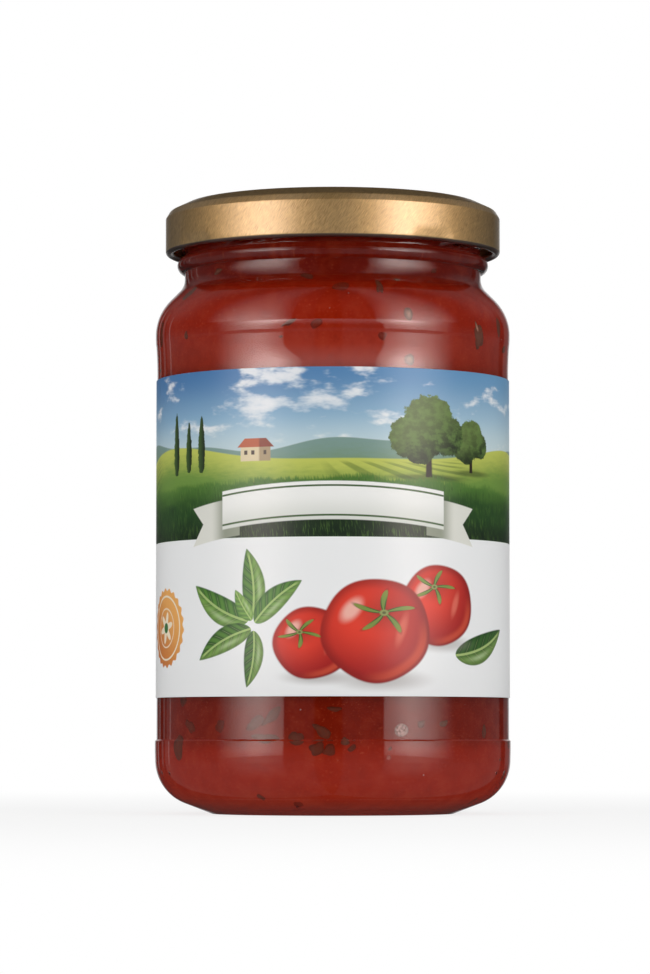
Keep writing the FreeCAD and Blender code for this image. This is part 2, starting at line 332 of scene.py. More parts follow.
class Outline:
    """A line in radius and height, in millimetres, that is turned about the jar's axis."""

    def __init__(self, radius: float, height: float) -> None:
        """Starts at a point."""
        self.points: list[Point] = [(radius, height)]

    def to(self, radius: float, height: float, step: float = 0.0) -> Outline:
        """Runs straight to a point.

        Args:
            radius: The point's radius.
            height: The point's height.
            step: Longest distance between points on the way, or 0 for none between.

        Returns:
            The outline.
        """
        start = Vector(self.points[-1])
        end = Vector((radius, height))
        parts = max(1, math.ceil((end - start).length / step)) if step else 1
        for index in range(1, parts + 1):
            self.points.append(tuple(start.lerp(end, index / parts)))
        return self

    def about(self, centre: Point, turn: float, steps: int) -> Outline:
        """Runs along an arc from the last point.

        Args:
            centre: The arc's centre.
            turn: How far it turns, in degrees, with plus from radius towards height.
            steps: Number of points on it.

        Returns:
            The outline.
        """
        away = Vector(self.points[-1]) - Vector(centre)
        start = math.atan2(away.y, away.x)
        for index in range(1, steps + 1):
            angle = start + math.radians(turn) * index / steps
            reach = away.length
            self.points.append((centre[0] + reach * math.cos(angle), centre[1] + reach * math.sin(angle)))
        return self

    def corner(self, corner: Point, after: Point, radius: float, steps: int = 6) -> Outline:
        """Runs towards a corner and round it, on an arc that touches both its sides.

        Args:
            corner: Where the two sides would meet.
            after: A point on the side after the corner.
            radius: Radius of the arc.
            steps: Number of points on the arc.

        Returns:
            The outline.
        """
        meet = Vector(corner)
        back = (Vector(self.points[-1]) - meet).normalized()
        ahead = (Vector(after) - meet).normalized()
        half = back.angle(ahead) / 2.0
        touch = meet + back * (radius / math.tan(half))
        centre = meet + (back + ahead).normalized() * (radius / math.sin(half))
        turn = math.degrees(math.pi - 2.0 * half)
        side = back.x * ahead.y - back.y * ahead.x
        self.to(touch.x, touch.y)
        return self.about((centre.x, centre.y), -turn if side > 0.0 else turn, steps)

    def dome(self, radius: float, height: float, steps: int = 24) -> Outline:
        """Runs to a point on an arc whose centre is on the axis.

        Args:
            radius: The point's radius.
            height: The point's height.
            steps: Number of points on the arc.

        Returns:
            The outline.
        """
        from_radius, from_height = self.points[-1]
        rise = height - from_height
        middle = (radius**2 - from_radius**2 + height**2 - from_height**2) / (2.0 * rise)
        start = math.atan2(from_height - middle, from_radius)
        end = math.atan2(height - middle, radius)
        return self.about((0.0, middle), math.degrees(end - start), steps)


def place_at(radius: float, azimuth: float, height: float) -> Vector:
    """Gives a point in metres from its radius and height in millimetres and its azimuth.

    Args:
        radius: Distance from the axis.
        azimuth: Degrees round the jar, 0 at the front and rising to the right.
        height: Height above the foot.

    Returns:
        The point.
    """
    angle = math.radians(azimuth)
    return Vector((radius * math.sin(angle), -radius * math.cos(angle), height)) * MM


def turn_outline(
    name: str,
    outline: Outline,
    looped: bool = False,
    seam: Optional[float] = None,
    steps: int = ROUND_STEPS,
    relief: Optional[Relief] = None,
) -> bpy.types.Object:
    """Turns an outline about the axis into a closed shape.

    Args:
        name: The piece's name.
        outline: The outline, which starts and ends on the axis unless it is looped.
        looped: Whether the outline's end joins its start.
        seam: Where the shape is left open, as a gap in degrees at the back, with its ends capped.
        steps: Number of steps round the axis.
        relief: Gives how far a point moves in radius and height, from its azimuth, radius and height.

    Returns:
        The piece.
    """
    if seam is None:
        azimuths = [360.0 * index / steps for index in range(steps)]
    else:
        azimuths = [-180.0 + seam / 2.0 + (360.0 - seam) * index / steps for index in range(steps + 1)]
    shape = bmesh.new()
    rows: list[list[bmesh.types.BMVert]] = []
    for radius, height in outline.points:
        if radius < ON_AXIS:
            rows.append([shape.verts.new((0.0, 0.0, height * MM))] * len(azimuths))
            continue
        row = []
        for azimuth in azimuths:
            out, up = relief(azimuth, radius, height) if relief else (0.0, 0.0)
            row.append(shape.verts.new(place_at(radius + out, azimuth, height + up)))
        rows.append(row)
    pairs = list(zip(rows, rows[1:]))
    if looped:
        pairs.append((rows[-1], rows[0]))
    last = len(azimuths) if seam is None else len(azimuths) - 1
    for low, high in pairs:
        for index in range(last):
            after = (index + 1) % len(azimuths)
            corners = dict.fromkeys((low[index], low[after], high[after], high[index]))
            if len(corners) > 2:
                shape.faces.new(corners)
    if seam is not None:
        shape.faces.new([row[0] for row in rows])
        shape.faces.new([row[-1] for row in reversed(rows)])
    bmesh.ops.recalc_face_normals(shape, faces=shape.faces)
    return mesh_object(name, shape)


def mesh_object(name: str, shape: bmesh.types.BMesh, sharp: float = 38.0) -> bpy.types.Object:
    """Makes an object of a finished shape, smooth except at sharp edges.

    Args:
        name: The object's name.
        shape: The shape, which is freed.
        sharp: Edges that turn by more than this many degrees stay sharp.

    Returns:
        The object, at the origin.
    """
    mesh = bpy.data.meshes.new(name)
    shape.to_mesh(mesh)
    shape.free()
    mesh.shade_smooth()
    mesh.set_sharp_from_angle(angle=math.radians(sharp))
    made = bpy.data.objects.new(name, mesh)
    bpy.context.scene.collection.objects.link(made)
    return made


def dress(piece: bpy.types.Object, material: bpy.types.Material) -> None:
    """Gives a piece its one material."""
    piece.data.materials.clear()
    piece.data.materials.append(material)


def settle(piece: bpy.types.Object, slot: str, *nodes: str) -> None:
    """Says what a finished piece rides on and what it stands for.

    Args:
        piece: The piece.
        slot: A material slot's name; not used.
        nodes: The CAD nodes that it replaces.
    """
    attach(piece, "root")
    if nodes:
        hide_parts(*nodes)
    LOG.info("%s: %d faces", piece.name, len(piece.data.polygons))


# ---------------------------------------------------------------- sizes


@dataclass(frozen=True)
class JarForm:
    """Sizes of the jar in millimetres and degrees, as the frame has them."""

    panel_radius: float = 35.15
    band_radius: float = 35.48
    wall: float = 2.4
    foot_radius: float = 24.1
    foot_width: float = 1.7
    punt_depth: float = 2.2
    base_slope: float = 21.0
    heel_round: float = 9.25
    base_wall: float = 3.4
    floor_edge: float = 3.3
    inner_heel_round: float = 8.0
    heel_radius: float = 35.22
    low_band_bottom: float = 12.4
    low_band_top: float = 14.45
    panel_bottom: float = 14.75
    panel_bend: float = 90.1
    panel_top: float = 93.15
    flare_radius: float = 35.35
    high_band_radius: float = 35.43
    high_band_bottom: float = 93.75
    high_band_bend: float = 94.9
    shoulder_start: float = 95.5
    shoulder_round: float = 9.6
    neck_radius: float = 29.7
    mouth_radius: float = 27.4
    neck_fillet: float = 3.8
    inner_neck_fillet: float = 2.5
    bead_bottom: float = 107.98
    bead_width: float = 3.2
    bead_proud: float = 1.5
    rim_height: float = 121.577
    rim_round: float = 0.9
    thread_count: int = 4
    thread_start: float = 46.0
    thread_turn: float = 84.0
    thread_low: float = 112.18
    thread_rise: float = 3.4
    thread_width: float = 1.9
    thread_proud: float = 1.3
    fill_height: float = 113.577
    label_bottom: float = 23.0
    label_top: float = 86.3
    label_thick: float = 0.2

    @property
    def shoulder_corner(self) -> float:
        """Height where the upper band and the shoulder's slope would meet."""
        return self.shoulder_start + self.shoulder_round * BEND_REACH

    @property
    def neck_corner(self) -> float:
        """Height where the shoulder's slope and the neck would meet."""
        return self.shoulder_corner + self.band_radius - self.neck_radius

    @property
    def heel_corner(self) -> float:
        """Height where the base's slope and the heel's side would meet."""
        return (self.heel_radius - self.foot_radius) * math.tan(math.radians(self.base_slope))

    def inside(self, reach: float, top: float) -> Outline:
        """Draws the inside of the jar from the middle of its floor up.

        Args:
            reach: How far the line lies inside the glass.
            top: Height where it ends.

        Returns:
            The outline.
        """
        wall = self.panel_radius - self.wall + reach
        mouth = self.mouth_radius + reach
        floor = self.floor_edge - reach
        bend = self.shoulder_round - (self.band_radius - self.panel_radius) - self.wall + reach
        low_corner = self.shoulder_start + bend * BEND_REACH
        high_corner = low_corner + wall - mouth
        line = Outline(0.0, self.punt_depth + self.base_wall - reach)
        line.dome(wall - self.inner_heel_round - reach, floor)
        line.corner((wall, floor), (wall, top), self.inner_heel_round + reach - SHY, steps=18)
        line.to(wall, self.shoulder_start - SHY, 4.0)
        line.corner((wall, low_corner), (mouth, high_corner), bend, steps=14)
        line.corner((mouth, high_corner), (mouth, top), self.inner_neck_fillet - reach, steps=8)
        return line.to(mouth, top, 1.0)


# ---------------------------------------------------------------- glass


@dataclass(frozen=True)
class ClearGlass:
    """Clear moulded glass with faint waves and a row of mould dots on each side of the heel, the dots in
    painted shade.
    """

    tint: Colour = (0.985, 0.992, 0.988, 1.0)
    shadow_tint: Colour = (0.93, 0.95, 0.94, 1.0)
    refraction: float = 1.5
    # painted shade: the dark colour laid on the mould dots for how dark they look through the glass
    dot_painted_shade: Colour = (0.06, 0.04, 0.035, 1.0)
    dot_radius: float = 0.62
    dot_depth: float = 0.3
    dot_height: float = 8.15
    dot_ring: float = 35.05
    dot_azimuths: tuple[float, ...] = (66.0, 73.5, 82.0, 90.0)
    ridge_height: float = 3.0

    def build(self) -> bpy.types.Material:
        """Makes the material and returns it."""
        board = SurfaceBoard("clear_glass")
        place = board.place()
        x, y, z = board.split(place)
        dots: Value = 0.0
        for azimuth in self.dot_azimuths:
            spot = place_at(self.dot_ring, azimuth, self.dot_height)
            aside, deep, rise = abs(x) - spot.x, y - spot.y, z - spot.z
            away = (aside * aside + (deep * deep + rise * rise)).root() / MM
            dots = board.ramp(away, self.dot_radius, 0.25 * self.dot_radius) + dots
        waves = board.noise(place, 16.0 * MM, 1.0, 0.4, (1.0, 1.0, 2.2))
        ridge = board.ramp(abs(z - self.ridge_height * MM), 0.35 * MM, 0.05 * MM)
        height = dots + waves * 0.1 + ridge * 0.12
        shader = board.surface(
            {
                # painted shade at the mould dots, mixed into the glass colour
                "Base Color": board.mix(dots * 0.95, self.tint, self.dot_painted_shade),
                "Roughness": 0.0,
                "IOR": self.refraction,
                "Transmission Weight": 1.0,
                "Normal": board.bump(height, self.dot_depth * MM),
            }
        )
        clear = board.flow("ShaderNodeBsdfTransparent", {"Color": self.shadow_tint})
        return board.finish(board.blend(board.rays()["Is Shadow Ray"], shader, clear))


@dataclass
class GlassJar:
    """The jar: foot, heel, two bands, label panel, shoulder, neck, bead, threads and rim."""

    form: JarForm
    glass: ClearGlass = ClearGlass()
    low_band_bow: float = 40.0
    flare_run: float = 3.2
    flare_bow: float = 80.0
    ledge_round: float = 3.0
    high_band_round: float = 2.0
    high_band_bow: float = 24.0
    rim_run: float = 1.2
    panel_step: float = 4.0
    finish_step: float = 0.25
    thread_taper: float = 0.09
    thread_fullness: float = 0.8

    def outline(self) -> Outline:
        """Draws the jar's section, up its outside and down its inside."""
        form = self.form
        panel, band, neck, mouth, rim = (
            form.panel_radius, form.band_radius, form.neck_radius, form.mouth_radius, form.rim_height
        )
        low_band, flare = (band, form.low_band_bottom), (form.flare_radius, form.panel_top)
        high_band, high_bend = (form.high_band_radius, form.high_band_bottom), (band, form.high_band_bend)
        shoulder, root = (band, form.shoulder_corner), (neck, form.neck_corner)
        line = Outline(0.0, form.punt_depth)
        line.dome(form.foot_radius - form.foot_width, 0.0)
        line.to(form.foot_radius, 0.0)
        line.corner((form.heel_radius, form.heel_corner), low_band, form.heel_round, steps=24)
        line.corner(low_band, (band, form.low_band_top), self.low_band_bow)
        line.to(band, form.low_band_top)
        line.to(panel, form.panel_bottom)
        line.to(panel, form.panel_bend - self.flare_run, self.panel_step)
        line.corner((panel, form.panel_bend), flare, self.flare_bow, steps=14)
        line.corner(flare, high_band, self.ledge_round, steps=4)
        line.corner(high_band, high_bend, self.high_band_round, steps=4)
        line.corner(high_bend, (band, form.shoulder_start), self.high_band_bow)
        line.to(band, form.shoulder_start - SHY)
        line.corner(shoulder, root, form.shoulder_round, steps=18)
        line.corner(root, (neck, rim), form.neck_fillet, steps=8)
        self._add_bead(line)
        line.to(neck, rim - self.rim_run, self.finish_step)
        line.corner((neck, rim), (mouth, rim), form.rim_round, steps=8)
        line.corner((mouth, rim), (mouth, 0.0), form.rim_round, steps=8)
        line.points.extend(reversed(form.inside(0.0, rim - 2.0).points))
        return line

    def _add_bead(self, line: Outline) -> None:
        """Adds the bead below the lid, as an arc between the neck and the finish.

        Args:
            line: The jar's section so far.
        """
        form = self.form
        half = form.bead_width / 2.0
        radius = (half**2 + form.bead_proud**2) / (2.0 * form.bead_proud)
        centre = (form.neck_radius + form.bead_proud - radius, form.bead_bottom + half)
        turn = 2.0 * math.degrees(math.atan2(half, form.neck_radius - centre[0]))
        line.to(form.neck_radius, form.bead_bottom)
        line.about(centre, turn, 18)

    def thread_relief(self, azimuth: float, radius: float, height: float) -> Point:
        """Raises the threads on the outside of the finish.

        Args:
            azimuth: Degrees round the jar.
            radius: Radius before the relief.
            height: Height before the relief.

        Returns:
            How far the point moves out and up.
        """
        form = self.form
        if abs(radius - form.neck_radius) > 0.01 or height < form.bead_bottom + form.bead_width:
            return (0.0, 0.0)
        proud = 0.0
        for index in range(form.thread_count):
            start = form.thread_start + 360.0 * index / form.thread_count
            along = ((azimuth - start) % 360.0) / form.thread_turn
            if along > 1.0:
                continue
            middle = form.thread_low + form.thread_rise * along
            aside = abs(height - middle) / (form.thread_width / 2.0)
            taper = min(1.0, along / self.thread_taper, (1.0 - along) / self.thread_taper)
            if aside < 1.0:
                full = math.cos(aside * math.pi / 2.0) ** self.thread_fullness
                proud = max(proud, form.thread_proud * full * math.sqrt(taper))
        return (proud, 0.0)

    def build(self) -> bpy.types.Object:
        """Makes the jar and returns it."""
        jar = turn_outline("glass_body", self.outline(), relief=self.thread_relief)
        dress(jar, self.glass.build())
        settle(jar, "clear_glass", "glass_jar")
        return jar


# ---------------------------------------------------------------- sauce


@dataclass(frozen=True)
class TomatoSauce:
    """Smooth cooked sauce with fine pulp, painted paler where light gets in at the shoulder and the heel and
    darker in the shade under the lid.
    """

    # Colours by height are painted light and shade: base, heel, upper panel and shoulder paler where light
    # gets in, low panel darker, neck in painted shade under the lid.
    low_panel: Colour = paint(132, 23, 3)
    lit_high_panel: Colour = paint(192, 62, 42)
    shoulder: Colour = paint(163, 33, 6)
    heel: Colour = paint(167, 35, 11)
    base: Colour = paint(168, 50, 30)
    neck: Colour = paint(118, 14, 3)
    sheen: Colour = (1.0, 0.12, 0.04, 1.0)

    def build(self) -> bpy.types.Material:
        """Makes the material and returns it."""
        board = SurfaceBoard("tomato_sauce")
        place = board.place()
        x, _, z = board.split(place)
        height = z / MM
        # painted light: the upper panel is brighter towards its front and back middles than at its sides
        middle = board.ramp(abs(x), 29.0 * MM, 15.0 * MM)
        drift = (board.noise(place, 9.0 * MM, 2.0) - 0.5) * 3.0
        level = height + drift
        cloud = board.noise(place, 3.2 * MM, 3.0, 0.55)
        pulp = board.noise(place, 0.4 * MM, 2.0, 0.6)
        colour = board.washes(
            self.base,
            # painted light and shade by height, as listed with the colours above
            (level, 3.0, 6.5, self.heel),
            (level, 12.2, 15.4, self.low_panel),
            (level, 70.0, 87.0, self.lit_high_panel, 0.5 + 0.45 * middle),
            (level, 90.0, 95.5, self.shoulder),
            (height, 101.0, 105.0, self.neck),
            (cloud, 0.45, 0.7, paint(202, 84, 54), 0.13),
            (cloud, 0.5, 0.3, paint(92, 14, 4), 0.14),
            (pulp, 0.6, 0.74, paint(208, 90, 58), 0.34),
            (pulp, 0.4, 0.28, paint(94, 18, 8), 0.2),
        )
        shader = board.surface(
            {
                "Base Color": colour,
                "Roughness": 0.48,
                "Specular IOR Level": 0.58,
                "Specular Tint": self.sheen,
                "Normal": board.bump(pulp, 0.02 * MM, 0.3),
            }
        )
        return board.finish(shader)


@dataclass(frozen=True)
class BasilLeaf:
    """Cooked basil seen through sauce, from nearly black to brown-green, with a few pale scraps."""

    def build(self) -> bpy.types.Material:
        """Makes the material and returns it."""
        board = SurfaceBoard("cooked_basil")
        tint = board.attribute("tint").outputs["Fac"]
        stops = (
            (0.0, paint(150, 42, 20)),
            (0.15, paint(132, 42, 24)),
            (0.32, paint(112, 50, 33)),
            (0.6, paint(118, 62, 45)),
            (0.88, paint(122, 76, 57)),
            (1.0, paint(208, 158, 134)),
        )
        colour = board.flow("ShaderNodeValToRGB", {"Fac": tint}, stops=stops)
        mottle = board.noise(board.place(), 0.7 * MM)
        colour = board.washes(colour, (mottle, 0.4, 0.72, paint(132, 44, 22), 0.4))
        shader = board.surface({"Base Color": colour, "Roughness": 0.55, "Specular IOR Level": 0.08})
        return board.finish(shader)


@dataclass(frozen=True)
class TrappedAir:
    """Small air bubbles pressed flat against the glass."""

    def build(self) -> bpy.types.Material:
        """Makes the material and returns it."""
        board = SurfaceBoard("trapped_air")
        middle = board.attribute("tint").outputs["Fac"]
        mottle = board.noise(board.place(), 0.5 * MM, 2.0)
        body = board.washes(paint(150, 104, 96), (mottle, 0.35, 0.62, paint(212, 170, 160)))
        colour = board.washes(paint(186, 92, 78), (middle, 0.3, 0.6, body))
        shader = board.surface({"Base Color": colour, "Roughness": 0.25, "Specular IOR Level": 0.3})
        return board.finish(shader)


@dataclass(frozen=True)
class Scrap:
    """One larger piece of leaf against the glass, at a given place."""

    azimuth: float
    height: float
    length: float
    width: float
    turn: float
    tint: float = 0.3


SCRAPS = (
    Scrap(-61.0, 13.2, 5.4, 3.6, 84.0, 0.4),
    Scrap(-54.6, 17.2, 3.8, 2.2, 130.0, 0.26),
    Scrap(-58.5, 22.2, 2.6, 2.2, 100.0, 0.3),
    Scrap(-40.4, 17.5, 2.9, 2.4, 70.0, 0.22),
    Scrap(-26.2, 18.1, 3.9, 2.0, 32.0, 0.5),
    Scrap(-20.3, 19.5, 5.6, 2.1, 44.0, 0.5),
    Scrap(-22.9, 15.1, 5.0, 1.9, -7.0, 0.6),
    Scrap(-12.3, 14.8, 3.5, 2.7, 72.0, 0.45),
    Scrap(-3.2, 16.3, 4.6, 2.5, -34.0, 0.5),
    Scrap(-5.2, 12.9, 3.6, 3.0, 20.0, 0.35),
    Scrap(-1.4, 12.6, 2.4, 2.2, 60.0, 0.3),
    Scrap(0.5, 20.5, 2.9, 1.3, -12.0, 0.35),
    Scrap(3.8, 14.4, 1.9, 1.6, 60.0, 0.7),
    Scrap(6.2, 13.1, 1.6, 1.4, 20.0, 0.3),
    Scrap(18.9, 13.0, 0.8, 0.6, 50.0, 0.75),
    Scrap(30.2, 17.7, 1.9, 1.4, 10.0, 0.5),
    Scrap(39.2, 17.9, 2.2, 1.4, 0.0, 0.8),
    Scrap(59.5, 16.1, 2.7, 2.3, 90.0, 0.55),
    Scrap(-27.0, 4.6, 1.4, 0.9, -10.0, 0.3),
    Scrap(-13.5, 3.6, 1.9, 1.2, 20.0, 0.05),
    Scrap(56.6, 93.5, 4.9, 2.9, 105.0, 0.8),
    Scrap(55.5, 95.2, 2.6, 0.7, 120.0, 0.94),
    Scrap(25.7, 96.8, 2.5, 1.7, 100.0, 0.92),
    Scrap(26.0, 88.2, 2.4, 1.8, 120.0, 0.93),
    Scrap(16.9, 101.5, 2.9, 1.6, 80.0, 0.55),
    Scrap(25.0, 103.0, 1.2, 0.8, 20.0, 0.85),
    Scrap(16.5, 92.6, 1.9, 1.5, 60.0, 0.1),
    Scrap(3.5, 101.4, 3.5, 1.5, 10.0, 0.15),
    Scrap(-5.0, 94.8, 2.6, 1.5, 20.0, 0.15),
    Scrap(-10.1, 103.9, 2.9, 1.7, -15.0, 0.3),
    Scrap(-14.9, 95.0, 2.8, 1.1, 25.0, 0.35),
    Scrap(-17.4, 92.4, 0.9, 0.6, 0.0, 0.6),
    Scrap(-52.0, 106.6, 2.6, 1.3, 35.0, 0.85),
    Scrap(-57.2, 93.9, 1.9, 1.3, 80.0, 0.6),
    Scrap(-77.0, 95.2, 5.0, 2.0, 80.0, 0.5),
    Scrap(-30.0, 103.4, 2.2, 1.0, -20.0, 0.1),
    Scrap(44.0, 106.2, 1.6, 1.0, 30.0, 0.3),
)

BUBBLES = (
    Scrap(22.9, 16.5, 2.9, 2.5, 10.0, 0.7),
    Scrap(18.4, 11.3, 0.9, 0.9, 0.0, 0.3),
)


@dataclass
class SauceFill:
    """The sauce up to its level, the leaf scraps and the bubbles that show through the glass."""

    form: JarForm
    reach: float = 0.25
    edge_drop: float = 1.5
    level_drop: float = 0.25
    scrap_rings: Triple = (0.0, 0.55, 1.0)
    scrap_lift: float = 0.09
    scrap_crown: float = 1.4
    shade_spread: float = 0.12
    seed: int = 11

    def build(self) -> None:
        """Makes the sauce and everything that lies on its skin."""
        body = self._body()
        kinds = (
            ("basil_flakes", BasilLeaf(), FlakeScatter(), SCRAPS, 0.42),
            ("air_bubbles", TrappedAir(), BubbleScatter(), BUBBLES, 0.04),
        )
        spreads = []
        for name, finish, rule, scraps, torn in kinds:
            material = finish.build()
            spread = self._scatter(body, name, material, rule)
            self._join_scraps(spread, material, scraps, torn)
            spreads.append(spread)
        dress(body, TomatoSauce().build())
        settle(body, "tomato_sauce", "sauce")
        for spread in spreads:
            settle(spread, "tomato_sauce")

    def _body(self) -> bpy.types.Object:
        """Makes the sauce itself, which reaches just into the glass all round."""
        line = self.form.inside(self.reach, self.form.fill_height)
        level = self.form.fill_height - self.level_drop
        line.to(line.points[-1][0] - self.edge_drop, level)
        line.to(0.0, level)
        return turn_outline("sauce_body", line, steps=192)

    def _scatter(
        self, body: bpy.types.Object, name: str, material: bpy.types.Material, rule: ScatterRule
    ) -> bpy.types.Object:
        """Spreads small pieces over the sauce where the label doesn't hide it.

        Args:
            body: The sauce.
            name: The new piece's name.
            material: What the pieces are made of.
            rule: Sizes and numbers of the pieces.

        Returns:
            One plain mesh object with all of them.
        """
        tree = rule.tree(self.form, material)
        carrier = body.copy()
        carrier.data = body.data.copy()
        bpy.context.scene.collection.objects.link(carrier)
        modifier = carrier.modifiers.new("scatter", "NODES")
        modifier.node_group = tree
        ids = {item.name: item.identifier for item in tree.interface.items_tree if item.in_out == "INPUT"}
        for title, value in rule.inputs().items():
            modifier[ids[title]] = value
        bpy.context.view_layer.update()
        graph = bpy.context.evaluated_depsgraph_get()
        mesh = bpy.data.meshes.new_from_object(carrier.evaluated_get(graph), depsgraph=graph)
        mesh.name = name
        bpy.data.objects.remove(carrier)
        made = bpy.data.objects.new(name, mesh)
        bpy.context.scene.collection.objects.link(made)
        dress(made, material)
        return made

    def _join_scraps(
        self, spread: bpy.types.Object, material: bpy.types.Material, scraps: Sequence[Scrap], torn: float
    ) -> None:
        """Adds the listed pieces to the scattered ones.

        Args:
            spread: The scattered pieces, which take the others in.
            material: What they are made of.
            scraps: The pieces to add.
            torn: How much their edges vary.
        """
        chance = random.Random(self.seed)
        shape = bmesh.new()
        shape.from_mesh(spread.data)
        layer = shape.verts.layers.float.get("tint") or shape.verts.layers.float.new("tint")
        for scrap in scraps:
            self._add_scrap(shape, layer, scrap, torn, chance)
        shape.to_mesh(spread.data)
        shape.free()
        dress(spread, material)

    @cached_property
    def _skin_line(self) -> list[Point]:
        """The outline of the sauce's skin."""
        return self.form.inside(self.reach, self.form.fill_height).points

    def _skin(self, height: float) -> float:
        """Measures the sauce's skin.

        Args:
            height: Where it is measured.

        Returns:
            Its radius there.
        """
        line = self._skin_line
        for (low_r, low_z), (high_r, high_z) in zip(line, line[1:]):
            if low_z <= height <= high_z and high_z > low_z and low_r > 20.0:
                return low_r + (high_r - low_r) * (height - low_z) / (high_z - low_z)
        return line[-1][0]

    def _add_scrap(
        self,
        shape: bmesh.types.BMesh,
        layer: bmesh.types.BMLayerItem,
        scrap: Scrap,
        torn: float,
        chance: random.Random,
    ) -> None:
        """Adds one piece that follows the glass.

        Args:
            shape: The mesh that takes it.
            layer: The layer that holds each point's tint.
            scrap: Its place and size.
            torn: How much its edge varies.
            chance: Source of its torn edge.
        """
        edge = self._torn_edge(torn, chance)
        count = len(edge)
        sides = [
            [self._add_ring(shape, layer, scrap, ring, lift, edge) for ring in self.scrap_rings]
            for lift in (0.0, self.scrap_lift)
        ]
        for (centre, middle, outer), flip in zip(sides, (True, False)):
            for index in range(count):
                after = (index + 1) % count
                fan = [centre[0], middle[index], middle[after]]
                quad = [middle[index], outer[index], outer[after], middle[after]]
                for face in (fan, quad):
                    shape.faces.new(reversed(face) if flip else face).smooth = True
        low, high = sides[0][2], sides[1][2]
        for index in range(count):
            after = (index + 1) % count
            shape.faces.new((low[index], low[after], high[after], high[index]))

    @staticmethod
    def _torn_edge(torn: float, chance: random.Random) -> list[float]:
        """Draws a torn edge with eight bends and three corners to each.

        Args:
            torn: How much it varies.
            chance: Source of the variation.

        Returns:
            How far each corner reaches, as a share of the full size.
        """
        bends = [1.0 + torn * (1.6 * chance.random() - 1.0) for _ in range(8)]
        pairs = zip(bends, bends[1:] + bends[:1])
        return [low + (high - low) * part / 3.0 for low, high in pairs for part in range(3)]

    def _add_ring(
        self,
        shape: bmesh.types.BMesh,
        layer: bmesh.types.BMLayerItem,
        scrap: Scrap,
        ring: float,
        lift: float,
        edge: list[float],
    ) -> list[bmesh.types.BMVert]:
        """Adds one ring of a piece's points, or its middle point.

        Args:
            shape: The mesh that takes it.
            layer: The layer that holds each point's tint.
            scrap: The piece's place and size.
            ring: The ring's share of the full size.
            lift: How far the side stands out from the skin.
            edge: How far each corner reaches.

        Returns:
            The points.
        """
        lean = math.radians(scrap.turn)
        row = []
        for index in range(len(edge) if ring else 1):
            angle = 2.0 * math.pi * index / len(edge)
            along = ring * edge[index] * math.cos(angle) * scrap.length / 2.0
            aside = ring * edge[index] * math.sin(angle) * scrap.width / 2.0
            right = along * math.cos(lean) - aside * math.sin(lean)
            height = scrap.height + (along * math.sin(lean) + aside * math.cos(lean))
            radius = self._skin(height)
            azimuth = scrap.azimuth + math.degrees(right / radius)
            vert = shape.verts.new(place_at(radius + lift * (self.scrap_crown - ring), azimuth, height))
            vert[layer] = min(1.0, max(-1.0, scrap.tint + self.shade_spread * (0.5 - ring)))
            row.append(vert)
        return row


